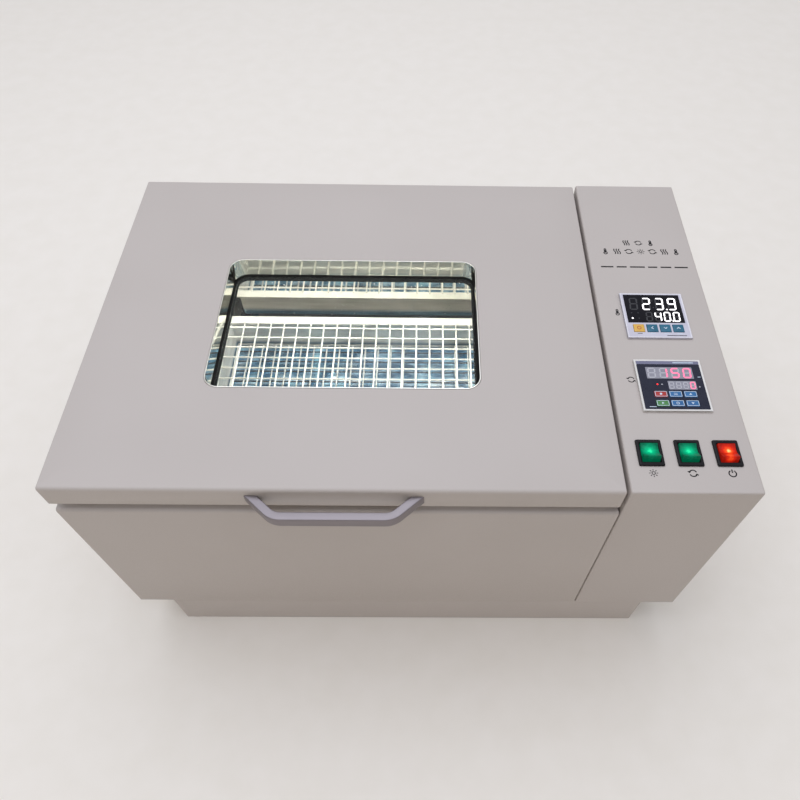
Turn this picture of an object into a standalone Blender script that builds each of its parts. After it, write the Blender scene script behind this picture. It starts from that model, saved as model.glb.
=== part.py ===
"""Benchtop air-bath shaker: a heated, lidded chamber with an orbiting flask tray and a control column.

Frame: metres, +X to the control column's side, +Y to the hinged back, +Z up.
The origin is the middle of the base plate's underside.
"""

import math

import bmesh
import bpy
from mathutils import Matrix, Vector

MM = 0.001
GAP = 0.3 * MM

# Driving dimensions of the cabinet
WIDTH = 694 * MM
DEPTH = 476 * MM
HEIGHT = 342 * MM
PLINTH_HEIGHT = 66 * MM
PLINTH_WIDTH = 615 * MM
PLINTH_DEPTH = 472 * MM
SEAM_X = 217.2 * MM
SHEET = 1.5 * MM
SHEET_THIN = 1.2 * MM

LEFT = -WIDTH / 2
RIGHT = WIDTH / 2
FRONT = -DEPTH / 2
BACK = DEPTH / 2

# Lid, measured down from the top of the machine
SKIRT_HEIGHT = 27.6 * MM
LID_BOTTOM = HEIGHT - SKIRT_HEIGHT
LID_RIGHT = 214.5 * MM
LID_EDGE_RADIUS = 4 * MM
WINDOW_LEFT = -213.4 * MM
WINDOW_RIGHT = 80 * MM
WINDOW_FRONT = -112.4 * MM
WINDOW_BACK = 86.5 * MM
WINDOW_RADIUS = 17 * MM
LINER_PAN_Z = 318.2 * MM
GASKET_BOTTOM = 313 * MM
GLASS_BOTTOM = 314.5 * MM
GLASS_THICKNESS = 4 * MM

# Cabinet shoulder and the neck that the lid closes over
SHOULDER_Z = HEIGHT - 40.8 * MM
SHOULDER_RADIUS = 4 * MM
NECK_INSET = 9 * MM
NECK_TOP = 311 * MM
BOTTOM_FLANGE = 14 * MM

# Chamber
CHAMBER_LEFT = -304 * MM
CHAMBER_RIGHT = 174 * MM
CHAMBER_HALF_DEPTH = 211 * MM
CHAMBER_FLOOR = 80 * MM
CHAMBER_RIM = NECK_TOP + GAP
SEAL_INSET = 9 * MM
SEAL_WIDTH = 8 * MM

# Shaking drive: every crank turns a pin on the same small orbit
ORBIT_X = -67 * MM
ORBIT_Y = 0.0
ORBIT_RADIUS = 10 * MM
CRANK_REST_ANGLE = 135
CRANK_DISC_Z = 84 * MM
CRANK_DISC_TOP = 90 * MM
CRANK_DISC_RADIUS = 20 * MM
SHAFT_RADIUS = 6 * MM
PIN_RADIUS = 5 * MM
PIN_TOP = 97.6 * MM
PLATFORM_Z = 92 * MM
PLATFORM_THICKNESS = 6 * MM
PLATFORM_WIDTH = 380 * MM
PLATFORM_DEPTH = 310 * MM
IDLER_SPACING_X = 300 * MM
IDLER_SPACING_Y = 230 * MM
CHASSIS_Z = 61.7 * MM
CHASSIS_THICKNESS = 4 * MM
BOSS_RADIUS = 14 * MM
BOSS_BOTTOM = 48 * MM
BOSS_TOP = 79.7 * MM
PULLEY_BOTTOM = 22 * MM
PULLEY_TOP = 34 * MM
CRANK_PULLEY_RADIUS = 60 * MM
MOTOR_PULLEY_RADIUS = 20 * MM
GROOVE_DEPTH = 4 * MM
BELT_THICKNESS = 3 * MM
MOTOR_X = 270 * MM
MOTOR_Y = 60 * MM
MOTOR_RADIUS = 35 * MM

# Tray and its two wire grids
TRAY_FLOOR = 98.5 * MM
TRAY_TOP = 146 * MM
TRAY_INNER_WIDTH = 404 * MM
TRAY_INNER_DEPTH = 336 * MM
GRID_FRAME = 15 * MM
WIRE = 2.4 * MM
GRID_PITCH_X = 40 * MM
GRID_PITCH_Y = 40 * MM
GRID_COLUMNS = 10
GRID_ROWS = 9
LOWER_GRID_Z = 105 * MM

# Air circulation behind the chamber's right wall
FAN_Y = 0.0
FAN_Z = 215 * MM
FAN_RADIUS = 34 * MM
DUCT_RIGHT = 212 * MM
DUCT_HALF_DEPTH = 72 * MM
DUCT_BOTTOM = 145 * MM
DUCT_TOP = 290 * MM

# Control panel, on top of the column
COLUMN_LEFT = 218 * MM
PANEL_X = 281 * MM
TEMP_Y = -4.7 * MM
SPEED_Y = -107.1 * MM
INSTRUMENT = (72 * MM, 70 * MM)
INSTRUMENT_SHIFT = 1.4 * MM
INSTRUMENT_FLANGE = 2.2 * MM
INSTRUMENT_BODY = (67 * MM, 65 * MM)
INSTRUMENT_DEPTH = 76 * MM
KEY_STAND = 0.8 * MM
KEY_TRAVEL = 0.6 * MM
KEY_HEIGHT = 2.6 * MM
TEMP_KEY = (12 * MM, 11.4 * MM)
TEMP_KEY_Y = -19.3 * MM
TEMP_KEY_X = {"set": -21.7 * MM, "shift": -6.8 * MM, "down": 7.9 * MM, "up": 22.5 * MM}
SPEED_KEY = (13.4 * MM, 7.8 * MM)
SPEED_KEY_X = (-14.5 * MM, 1 * MM, 16.6 * MM)
SPEED_KEY_Y = (-11.7 * MM, -23.9 * MM)
SPEED_KEY_NAMES = (("stop", "mode", "raise"), ("run", "timer", "lower"))

# Rocker switches
ROCKER_Y = -191.9 * MM
ROCKER_X = {"light": 242.8 * MM, "shake": 281.4 * MM, "power": 320 * MM}
ROCKER_BEZEL = (25.6 * MM, 31.2 * MM)
ROCKER_OPENING = (18 * MM, 22.4 * MM)
ROCKER_BODY = (21.4 * MM, 27.4 * MM)
ROCKER_WIDTH = 17.2 * MM
ROCKER_PIVOT_Z = HEIGHT - 1 * MM
ROCKER_TILT = 10

# Lid hinges
HINGE_X = {"left": -235 * MM, "right": 105 * MM}
HINGE_LENGTH = 60 * MM
HINGE_LEAF = 30 * MM
KNUCKLE_RADIUS = 3.8 * MM
HINGE_Z = 308 * MM
HINGE_Y = BACK + GAP + KNUCKLE_RADIUS
HINGE_PIN_RADIUS = 2 * MM
MID_KNUCKLE = 19.6 * MM

# Lid handle: a bow of flat bar, bent outwards at both ends
HANDLE_X = -66 * MM
HANDLE_LENGTH = 173 * MM
HANDLE_REACH = 26.5 * MM
HANDLE_BAR = 9 * MM
HANDLE_HEIGHT = 12.5 * MM
HANDLE_Z = 320.5 * MM
HANDLE_RUN = 28 * MM
HANDLE_BEND = 18 * MM

# Rear cover: air vents and the mains inlet, whose flange covers the notch it drops into
VENT_COUNT = 6
VENT_PITCH = 16 * MM
VENT_HEIGHT = 5 * MM
VENT_LEFT = 250 * MM
VENT_RIGHT = 315 * MM
VENT_BOTTOM = 190 * MM
INLET_X = 282 * MM
INLET_Z = 80 * MM
INLET_BODY = (27 * MM, 20 * MM)
INLET_FLANGE = (48 * MM, 24 * MM)


def clear_scene():
    """Removes every object, so that the script starts from nothing."""
    for obj in list(bpy.data.objects):
        bpy.data.objects.remove(obj, do_unlink=True)


def new_collection(name):
    collection = bpy.data.collections.new(name)
    bpy.context.scene.collection.children.link(collection)
    return collection


clear_scene()
PARTS = new_collection("air_bath_shaker")
CUTTERS = new_collection("cutters")


# Materials

def material(name, color, roughness, metallic=0.0, alpha=1.0):
    mat = bpy.data.materials.new(name)
    mat.use_nodes = True
    shader = mat.node_tree.nodes["Principled BSDF"]
    shader.inputs["Base Color"].default_value = (*color, 1.0)
    shader.inputs["Roughness"].default_value = roughness
    shader.inputs["Metallic"].default_value = metallic
    shader.inputs["Alpha"].default_value = alpha
    return mat


PAINT = material("cabinet_paint", (0.52, 0.48, 0.45), 0.45)
STEEL = material("stainless_steel", (0.62, 0.6, 0.56), 0.25, 1.0)
ZINC = material("zinc_plate", (0.5, 0.5, 0.5), 0.4, 1.0)
ALUMINIUM = material("anodised_aluminium", (0.55, 0.54, 0.58), 0.35, 1.0)
CAST = material("cast_aluminium", (0.4, 0.4, 0.41), 0.55, 1.0)
GLASS = material("window_glass", (0.85, 0.9, 0.9), 0.05, 0.0, 0.3)
BLACK_RUBBER = material("black_rubber", (0.02, 0.02, 0.02), 0.7)
SILICONE = material("seal_silicone", (0.6, 0.58, 0.55), 0.6)
WOOL = material("insulation_wool", (0.75, 0.7, 0.5), 0.95)
BLACK_PLASTIC = material("black_plastic", (0.02, 0.02, 0.02), 0.4)
GREY_PLASTIC = material("silver_plastic", (0.6, 0.58, 0.65), 0.4)
WHITE_PLASTIC = material("white_plastic", (0.8, 0.78, 0.76), 0.4)
DISPLAY = material("display_window", (0.01, 0.01, 0.015), 0.1)
GREY_DISPLAY = material("grey_display", (0.3, 0.3, 0.35), 0.2)
KEY_YELLOW = material("key_yellow", (0.75, 0.45, 0.08), 0.4)
KEY_TEAL = material("key_teal", (0.03, 0.2, 0.3), 0.4)
KEY_RED = material("key_red", (0.5, 0.03, 0.03), 0.4)
KEY_GREEN = material("key_green", (0.08, 0.3, 0.08), 0.4)
KEY_BLUE = material("key_blue", (0.03, 0.15, 0.4), 0.4)
ROCKER_GREEN = material("rocker_green", (0.0, 0.45, 0.22), 0.2)
ROCKER_RED = material("rocker_red", (0.8, 0.05, 0.02), 0.2)
LAMP = material("lamp_glass", (0.9, 0.9, 0.85), 0.2)


# Building blocks

def mesh_object(name, bm, location, mat, parent=None):
    """Turns a bmesh into a named object whose mesh is centred on its own origin."""
    bmesh.ops.recalc_face_normals(bm, faces=bm.faces)
    mesh = bpy.data.meshes.new(name)
    bm.to_mesh(mesh)
    bm.free()
    mesh.materials.append(mat)
    obj = bpy.data.objects.new(name, mesh)
    obj.location = location
    PARTS.objects.link(obj)
    if parent is not None:
        obj.parent = parent
        obj.location -= parent.location
    return obj


def pivot(name, location):
    """An empty on a joint's axis, to which the joint's moving pieces are parented."""
    empty = bpy.data.objects.new(name, None)
    empty.location = location
    empty.empty_display_size = 20 * MM
    PARTS.objects.link(empty)
    return empty


def smooth(obj, angle=40):
    """Smooth shading, with edges sharper than the angle kept crisp."""
    obj.data.shade_smooth()
    obj.data.set_sharp_from_angle(angle=math.radians(angle))
    return obj


def add_wall(obj, thickness, offset=-1.0):
    """Thickens an open surface: offset -1 keeps the surface as the outside."""
    wall = obj.modifiers.new("wall", "SOLIDIFY")
    wall.thickness = thickness
    wall.offset = offset
    wall.use_even_offset = True
    return obj


def box(name, low, high, mat, parent=None):
    low, high = Vector(low), Vector(high)
    bm = bmesh.new()
    bmesh.ops.create_cube(bm, size=1.0)
    bmesh.ops.scale(bm, vec=high - low, verts=bm.verts)
    return mesh_object(name, bm, (low + high) / 2, mat, parent)


def open_box(name, low, high, mat, open_sides, parent=None):
    """A box without the faces whose outward directions are in open_sides."""
    low, high = Vector(low), Vector(high)
    bm = bmesh.new()
    bmesh.ops.create_cube(bm, size=1.0)
    bm.normal_update()
    gone = [f for f in bm.faces if any(f.normal.dot(Vector(s)) > 0.9 for s in open_sides)]
    bmesh.ops.delete(bm, geom=gone, context="FACES_ONLY")
    bmesh.ops.scale(bm, vec=high - low, verts=bm.verts)
    obj = mesh_object(name, bm, (low + high) / 2, mat, parent)
    if sum(p.center.dot(p.normal) for p in obj.data.polygons) < 0:
        obj.data.flip_normals()
    return obj


def cylinder(name, radius, start, end, mat, sides=20):
    """A cylinder between two points."""
    start, end = Vector(start), Vector(end)
    bm = bmesh.new()
    length = (end - start).length
    bmesh.ops.create_cone(
        bm, cap_ends=True, segments=sides, radius1=radius, radius2=radius, depth=length
    )
    turn = Vector((0, 0, 1)).rotation_difference(end - start).to_matrix()
    bmesh.ops.rotate(bm, cent=(0, 0, 0), matrix=turn, verts=bm.verts)
    return smooth(mesh_object(name, bm, (start + end) / 2, mat))


def boolean(obj, other, operation="DIFFERENCE"):
    """Cuts or joins obj with other, which is left as a guide that isn't built."""
    for collection in list(other.users_collection):
        collection.objects.unlink(other)
    CUTTERS.objects.link(other)
    other.hide_render = True
    other.display_type = "WIRE"
    step = obj.modifiers.new(operation.lower(), "BOOLEAN")
    step.operation = operation
    step.solver = "EXACT"
    step.object = other
    return obj


def cut_box(obj, name, low, high):
    return boolean(obj, box(name, low, high, PAINT))


def join_box(obj, name, low, high):
    return boolean(obj, box(name, low, high, obj.data.materials[0]), "UNION")


def arc(centre, radius, start, end, steps):
    """Points along an arc, angles in degrees."""
    points = []
    for i in range(steps + 1):
        angle = math.radians(start + (end - start) * i / steps)
        points.append((centre[0] + radius * math.cos(angle), centre[1] + radius * math.sin(angle)))
    return points


def rounded_rect(low, high, radius=0.0, steps=4):
    """A rectangle's outline from two corners, with round corners where radius isn't zero."""
    (x0, y0), (x1, y1) = low, high
    if radius <= 0:
        return [(x0, y0), (x1, y0), (x1, y1), (x0, y1)]
    r = radius
    return (
        arc((x0 + r, y0 + r), r, 180, 270, steps)
        + arc((x1 - r, y0 + r), r, 270, 360, steps)
        + arc((x1 - r, y1 - r), r, 0, 90, steps)
        + arc((x0 + r, y1 - r), r, 90, 180, steps)
    )


def plate(name, outlines, z, thickness, mat, parent=None, rotation=(0, 0, 0), location=None):
    """A flat piece from closed outlines, the first its edge and the rest its holes."""
    curve = bpy.data.curves.new(name, "CURVE")
    curve.dimensions = "2D"
    curve.fill_mode = "BOTH"
    curve.extrude = thickness / 2
    for outline in outlines:
        spline = curve.splines.new("POLY")
        spline.points.add(len(outline) - 1)
        spline.use_cyclic_u = True
        for point, (x, y) in zip(spline.points, outline):
            point.co = (x, y, 0, 1)
    flat = bpy.data.objects.new(name + "_outline", curve)
    bpy.context.scene.collection.objects.link(flat)
    bpy.context.view_layer.update()
    evaluated = flat.evaluated_get(bpy.context.evaluated_depsgraph_get())
    mesh = bpy.data.meshes.new_from_object(evaluated)
    bm = bmesh.new()
    bm.from_mesh(mesh)
    bmesh.ops.remove_doubles(bm, verts=bm.verts, dist=0.00001)
    bpy.data.objects.remove(flat)
    bpy.data.curves.remove(curve)
    bpy.data.meshes.remove(mesh)
    place = Vector((0, 0, z + thickness / 2)) if location is None else Vector(location)
    obj = mesh_object(name, bm, place, mat, parent)
    obj.rotation_euler = rotation
    return obj


def turned(name, profile, centre, mat, steps=24):
    """A turned piece about +Z: profile is (radius, z) from the top of its outer side down."""
    bm = bmesh.new()
    verts = [bm.verts.new((radius, 0, z)) for radius, z in profile]
    for upper, lower in zip(verts, verts[1:]):
        bm.edges.new((upper, lower))
    mesh = bpy.data.meshes.new(name)
    bm.to_mesh(mesh)
    bm.free()
    mesh.materials.append(mat)
    obj = bpy.data.objects.new(name, mesh)
    PARTS.objects.link(obj)
    obj.location = centre
    screw = obj.modifiers.new("turn", "SCREW")
    screw.steps = steps
    screw.render_steps = steps
    screw.use_merge_vertices = True
    screw.merge_threshold = 0.00001
    screw.use_smooth_shade = True
    return obj


def loft(
    name, low, high, sections, mat, radius=0.0, floor=False, top=False, ring=False, parent=None, steps=4
):
    """Sheet that follows a rectangle's outline through sections of (inset, z).

    An inset can be a pair, for x and y. floor closes the first section with a face, top the
    last, and ring joins the last section to the first.
    """
    bm = bmesh.new()
    loops = []
    for inset, z in sections:
        inset_x, inset_y = inset if isinstance(inset, tuple) else (inset, inset)
        inner_low = (low[0] + inset_x, low[1] + inset_y)
        inner_high = (high[0] - inset_x, high[1] - inset_y)
        outline = rounded_rect(inner_low, inner_high, radius - inset_x if radius else 0.0, steps)
        loops.append([bm.verts.new((x, y, z)) for x, y in outline])
    pairs = list(zip(loops, loops[1:]))
    if ring:
        pairs.append((loops[-1], loops[0]))
    for lower, upper in pairs:
        count = len(lower)
        for i in range(count):
            j = (i + 1) % count
            bm.faces.new((lower[i], lower[j], upper[j], upper[i]))
    if floor:
        bm.faces.new(list(reversed(loops[0])))
    if top:
        bm.faces.new(loops[-1])
    mesh = bpy.data.meshes.new(name)
    bm.normal_update()
    bm.to_mesh(mesh)
    bm.free()
    mesh.materials.append(mat)
    obj = bpy.data.objects.new(name, mesh)
    PARTS.objects.link(obj)
    if parent is not None:
        obj.parent = parent
        obj.location -= parent.location
    return obj


# Base: plinth and floor plate

def build_base():
    half_width, half_depth = PLINTH_WIDTH / 2, PLINTH_DEPTH / 2
    low, high = (-half_width, -half_depth), (half_width, half_depth)
    top = PLINTH_HEIGHT - GAP
    plinth = loft("plinth", low, high, [(0, 0), (0, top)], PAINT)
    add_wall(plinth, SHEET)
    inset = SHEET + GAP
    plate_low = (-half_width + inset, -half_depth + inset, 0)
    plate_high = (half_width - inset, half_depth - inset, 2 * MM)
    base = box("base_plate", plate_low, plate_high, ZINC)
    slot_length, slot_width, slot_pitch = 60 * MM, 5 * MM, 14 * MM
    slots = box(
        "base_vents",
        (MOTOR_X - slot_length, MOTOR_Y - 3 * slot_pitch, -2 * MM),
        (MOTOR_X, MOTOR_Y - 3 * slot_pitch + slot_width, 4 * MM),
        ZINC,
    )
    repeat = slots.modifiers.new("repeat", "ARRAY")
    repeat.count = 6
    repeat.use_relative_offset = False
    repeat.use_constant_offset = True
    repeat.constant_offset_displace = (0, slot_pitch, 0)
    boolean(base, slots)


# Cabinet: outer shell, insulation and stainless chamber

def rolled_edge(inset, z, radius, steps=2):
    """Sections of a quarter-round edge that climbs to z and then turns inwards."""
    return arc((inset + radius, z - radius), radius, 180, 90, steps)


def build_cabinet():
    low, high = (LEFT, FRONT), (SEAM_X, BACK)
    sections = [(BOTTOM_FLANGE, PLINTH_HEIGHT), (0, PLINTH_HEIGHT)]
    sections += rolled_edge(0, SHOULDER_Z, SHOULDER_RADIUS)
    sections += [(NECK_INSET, SHOULDER_Z), (NECK_INSET, NECK_TOP)]
    shell = loft("cabinet_shell", low, high, sections, PAINT)
    add_wall(shell, SHEET)
    boolean(shell, fan_hole("fan_hole_cabinet", SEAM_X - 8 * MM, SEAM_X + 4 * MM))

    liner_low = (CHAMBER_LEFT, -CHAMBER_HALF_DEPTH)
    liner_high = (CHAMBER_RIGHT, CHAMBER_HALF_DEPTH)
    flange = (LEFT + NECK_INSET - CHAMBER_LEFT, CHAMBER_HALF_DEPTH + NECK_INSET - BACK)
    floor_z, rim_z = CHAMBER_FLOOR + SHEET_THIN, CHAMBER_RIM + SHEET_THIN
    sections = [(0, floor_z), (0, rim_z), (flange, rim_z)]
    liner = loft("chamber_liner", liner_low, liner_high, sections, STEEL, floor=True)
    add_wall(liner, SHEET_THIN, 1.0)
    for index, (x, y) in enumerate(crank_centres()):
        hole = cylinder(
            f"liner_hole_{index}",
            SHAFT_RADIUS + 3 * MM,
            (x, y, CHAMBER_FLOOR - 8 * MM),
            (x, y, CHAMBER_FLOOR + 8 * MM),
            STEEL,
            sides=16,
        )
        boolean(liner, hole)
    boolean(liner, intake_slots())

    # The wool runs round the chamber and stops either side of the fan duct.
    inner, outer = GAP + SHEET_THIN, GAP + SHEET
    x0, x1, y1 = CHAMBER_LEFT - inner, CHAMBER_RIGHT + inner, CHAMBER_HALF_DEPTH + inner
    outer_x0, outer_x1, outer_y1 = LEFT + outer, SEAM_X - outer, BACK - outer
    mouth = DUCT_HALF_DEPTH + GAP
    jacket = [
        (outer_x1, -mouth),
        (x1, -mouth),
        (x1, -y1),
        (x0, -y1),
        (x0, y1),
        (x1, y1),
        (x1, mouth),
        (outer_x1, mouth),
        (outer_x1, outer_y1),
        (outer_x0, outer_y1),
        (outer_x0, -outer_y1),
        (outer_x1, -outer_y1),
    ]
    wool_bottom = PLINTH_HEIGHT + SHEET + GAP
    wool_top = SHOULDER_Z - SHOULDER_RADIUS - SHEET
    plate("insulation_jacket", [jacket], wool_bottom, wool_top - wool_bottom, WOOL)

    seal_low = (LEFT + NECK_INSET + SEAL_INSET, FRONT + NECK_INSET + 5 * MM)
    seal_high = (SEAM_X - NECK_INSET - SEAL_INSET, BACK - NECK_INSET - 5 * MM)
    seal_z = CHAMBER_RIM + SHEET_THIN + GAP
    seal_outer = rounded_rect(seal_low, seal_high, 12 * MM)
    seal_inner = rounded_rect(
        (seal_low[0] + SEAL_WIDTH, seal_low[1] + SEAL_WIDTH),
        (seal_high[0] - SEAL_WIDTH, seal_high[1] - SEAL_WIDTH),
        4 * MM,
    )
    plate("chamber_seal", [seal_outer, seal_inner], seal_z, LINER_PAN_Z - GAP - seal_z, SILICONE)


def crank_centres():
    """Shaft centres: the driven crank first, then the four idlers."""
    centres = [(ORBIT_X, ORBIT_Y)]
    for side_y in (-1, 1):
        for side_x in (-1, 1):
            x = ORBIT_X + side_x * IDLER_SPACING_X / 2
            y = ORBIT_Y + side_y * IDLER_SPACING_Y / 2
            centres.append((x, y))
    return centres


def fan_hole(name, start_x, end_x):
    return cylinder(name, 7 * MM, (start_x, FAN_Y, FAN_Z), (end_x, FAN_Y, FAN_Z), PAINT, sides=16)


def intake_slots():
    """Seven level slots in front of the fan wheel."""
    pitch, height, count = 10 * MM, 5 * MM, 7
    first = FAN_Z - pitch * (count - 1) / 2
    slots = box(
        "intake_slots",
        (CHAMBER_RIGHT - 5 * MM, -34 * MM, first - height / 2),
        (CHAMBER_RIGHT + 5 * MM, 34 * MM, first + height / 2),
        STEEL,
    )
    repeat = slots.modifiers.new("repeat", "ARRAY")
    repeat.count = count
    repeat.use_relative_offset = False
    repeat.use_constant_offset = True
    repeat.constant_offset_displace = (0, 0, pitch)
    return slots


# Lid: shell, window and handle, all on the hinge axis

def window_outline(grow):
    """The window's outline, grown by a distance and shrunk where that is negative."""
    low = (WINDOW_LEFT - grow, WINDOW_FRONT - grow)
    high = (WINDOW_RIGHT + grow, WINDOW_BACK + grow)
    return rounded_rect(low, high, WINDOW_RADIUS + grow)


def build_lid(hinge):
    low, high = (LEFT, FRONT), (LID_RIGHT, BACK)
    sections = [(0, LID_BOTTOM)] + rolled_edge(0, HEIGHT, LID_EDGE_RADIUS)
    lid = loft("lid_shell", low, high, sections, PAINT, top=True, parent=hinge)
    add_wall(lid, SHEET)
    opening = plate("window_cutter", [window_outline(0)], HEIGHT - 10 * MM, 20 * MM, PAINT)
    boolean(lid, opening)

    inset = SHEET + GAP
    pan_low = (LEFT + inset, FRONT + inset)
    pan_high = (LID_RIGHT - inset, BACK - inset)
    pan = rounded_rect(pan_low, pan_high)
    plate("lid_liner", [pan, window_outline(0)], LINER_PAN_Z, SHEET_THIN, STEEL, hinge)

    reveal_z = LINER_PAN_Z + SHEET_THIN + GAP
    plate(
        "window_reveal",
        [window_outline(-GAP), window_outline(-GAP - SHEET_THIN)],
        reveal_z,
        HEIGHT - reveal_z,
        STEEL,
        hinge,
    )
    gasket_top = LINER_PAN_Z + SHEET_THIN
    low, high = (WINDOW_LEFT, WINDOW_FRONT), (WINDOW_RIGHT, WINDOW_BACK)
    seat = GLASS_BOTTOM - GAP
    gasket_sections = [
        (GAP, GASKET_BOTTOM),
        (GAP, gasket_top),
        (5 * MM, gasket_top),
        (5 * MM, seat),
        (8 * MM, seat),
        (8 * MM, GASKET_BOTTOM),
    ]
    loft(
        "window_gasket", low, high, gasket_sections, BLACK_RUBBER, WINDOW_RADIUS, ring=True, parent=hinge
    )
    plate(
        "window_glass", [window_outline(-5 * MM - GAP)], GLASS_BOTTOM, GLASS_THICKNESS, GLASS, hinge
    )
    build_handle(hinge)


def handle_side(offset, mirror):
    """One half of the bow's outline at a distance inside its outer face, wall end first."""
    slope = math.atan2(HANDLE_REACH, HANDLE_RUN)
    half = HANDLE_LENGTH / 2
    shift = offset / math.sin(slope)
    root = (-half + shift, -GAP)
    radius = HANDLE_BEND - offset
    set_back = HANDLE_BEND * math.tan(slope / 2)
    corner_x = -half + HANDLE_RUN
    centre = (corner_x + set_back, -HANDLE_REACH + HANDLE_BEND)
    turn = math.degrees(slope)
    bend = arc(centre, radius, 270 - turn, 270, 4)
    points = [root] + bend
    return [(-x, y) for x, y in reversed(points)] if mirror else points


def build_handle(hinge):
    outer = handle_side(0, False) + handle_side(0, True)
    inner = handle_side(HANDLE_BAR, False) + handle_side(HANDLE_BAR, True)
    outline = outer + list(reversed(inner))
    place = (HANDLE_X, FRONT, HANDLE_Z + HANDLE_HEIGHT / 2)
    plate("lid_handle", [outline], 0, HANDLE_HEIGHT, ALUMINIUM, hinge, location=place)


# Lid hinges: two leaves and a pin on each side

def hinge_leaf(name, x, mat, parent, upward):
    """One leaf: the lid's has the middle knuckle, the cabinet's has the outer two."""
    half, mid = HINGE_LENGTH / 2, MID_KNUCKLE / 2
    clear = KNUCKLE_RADIUS + 0.4 * MM
    near, far = HINGE_Z + clear, HINGE_Z + HINGE_LEAF
    if not upward:
        near, far = 2 * HINGE_Z - near, 2 * HINGE_Z - far
    face = BACK + GAP
    leaf = box(
        name, (x - half, face, min(near, far)), (x + half, face + SHEET, max(near, far)), mat, parent
    )
    spans = [(-mid, mid)] if upward else [(-half, -mid - 0.4 * MM), (mid + 0.4 * MM, half)]
    for index, (start, end) in enumerate(spans):
        tab_far = near + (1 * MM if upward else -1 * MM)
        tab_low = (x + start, face, min(HINGE_Z, tab_far))
        tab_high = (x + end, face + SHEET, max(HINGE_Z, tab_far))
        join_box(leaf, f"{name}_tab_{index}", tab_low, tab_high)
        knuckle = cylinder(
            f"{name}_knuckle_{index}",
            KNUCKLE_RADIUS,
            (x + start, HINGE_Y, HINGE_Z),
            (x + end, HINGE_Y, HINGE_Z),
            mat,
            sides=16,
        )
        boolean(leaf, knuckle, "UNION")
    bore = cylinder(
        f"{name}_bore",
        HINGE_PIN_RADIUS + GAP,
        (x - half - 5 * MM, HINGE_Y, HINGE_Z),
        (x + half + 5 * MM, HINGE_Y, HINGE_Z),
        mat,
        sides=12,
    )
    boolean(leaf, bore)


def build_hinges(hinge):
    for side, x in HINGE_X.items():
        hinge_leaf(f"cabinet_hinge_leaf_{side}", x, ZINC, None, False)
        hinge_leaf(f"lid_hinge_leaf_{side}", x, ZINC, hinge, True)
        half = HINGE_LENGTH / 2 + 1 * MM
        cylinder(
            f"hinge_pin_{side}",
            HINGE_PIN_RADIUS,
            (x - half, HINGE_Y, HINGE_Z),
            (x + half, HINGE_Y, HINGE_Z),
            ZINC,
            sides=12,
        )


# Control column and its rear cover

def build_column():
    low = (COLUMN_LEFT, FRONT, PLINTH_HEIGHT)
    high = (RIGHT, BACK, HEIGHT)
    column = open_box("control_column", low, high, PAINT, [(0, 0, -1), (0, 1, 0)])
    add_wall(column, SHEET)
    boolean(column, fan_hole("fan_hole_column", COLUMN_LEFT - 4 * MM, COLUMN_LEFT + 5 * MM))
    for name, y in (("temp", TEMP_Y), ("speed", SPEED_Y)):
        half_x, half_y = INSTRUMENT_BODY[0] / 2 + GAP, INSTRUMENT_BODY[1] / 2 + GAP
        middle = y + INSTRUMENT_SHIFT
        cut_box(
            column,
            f"{name}_cutout",
            (PANEL_X - half_x, middle - half_y, HEIGHT - 5 * MM),
            (PANEL_X + half_x, middle + half_y, HEIGHT + 5 * MM),
        )
    half_x, half_y = ROCKER_BODY[0] / 2 + GAP, ROCKER_BODY[1] / 2 + GAP
    for name, x in ROCKER_X.items():
        cut_box(
            column,
            f"{name}_cutout",
            (x - half_x, ROCKER_Y - half_y, HEIGHT - 5 * MM),
            (x + half_x, ROCKER_Y + half_y, HEIGHT + 5 * MM),
        )

    inset = SHEET + GAP
    left, right = COLUMN_LEFT + inset, RIGHT - inset
    bottom, top = PLINTH_HEIGHT + 1 * MM, HEIGHT - inset
    notch_half = INLET_BODY[0] / 2 + GAP
    notch_top = INLET_Z + INLET_BODY[1] / 2 + GAP
    outline = [
        (left, bottom),
        (INLET_X - notch_half, bottom),
        (INLET_X - notch_half, notch_top),
        (INLET_X + notch_half, notch_top),
        (INLET_X + notch_half, bottom),
        (right, bottom),
        (right, top),
        (left, top),
    ]
    slots = []
    for i in range(VENT_COUNT):
        z = VENT_BOTTOM + i * VENT_PITCH
        slots.append(rounded_rect((VENT_LEFT, z), (VENT_RIGHT, z + VENT_HEIGHT)))
    plate(
        "rear_cover",
        [outline] + slots,
        0,
        SHEET,
        PAINT,
        rotation=(math.radians(90), 0, 0),
        location=(0, BACK - SHEET / 2, 0),
    )
    build_inlet()


def build_inlet():
    """The mains inlet: a flanged socket with a hollow for the plug."""
    face = BACK + GAP
    x, z = INLET_X, INLET_Z
    half_flange = (INLET_FLANGE[0] / 2, INLET_FLANGE[1] / 2)
    half_body = (INLET_BODY[0] / 2, INLET_BODY[1] / 2)
    inlet = box(
        "power_inlet",
        (x - half_flange[0], face, z - half_flange[1]),
        (x + half_flange[0], face + 3 * MM, z + half_flange[1]),
        BLACK_PLASTIC,
    )
    join_box(
        inlet,
        "inlet_body",
        (x - half_body[0], face - 22 * MM, z - half_body[1]),
        (x + half_body[0], face + 1 * MM, z + half_body[1]),
    )
    cut_box(
        inlet,
        "inlet_hollow",
        (x - 11.5 * MM, face - 16 * MM, z - 7.5 * MM),
        (x + 11.5 * MM, face + 5 * MM, z + 7.5 * MM),
    )


# Instruments and switches on the panel

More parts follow.
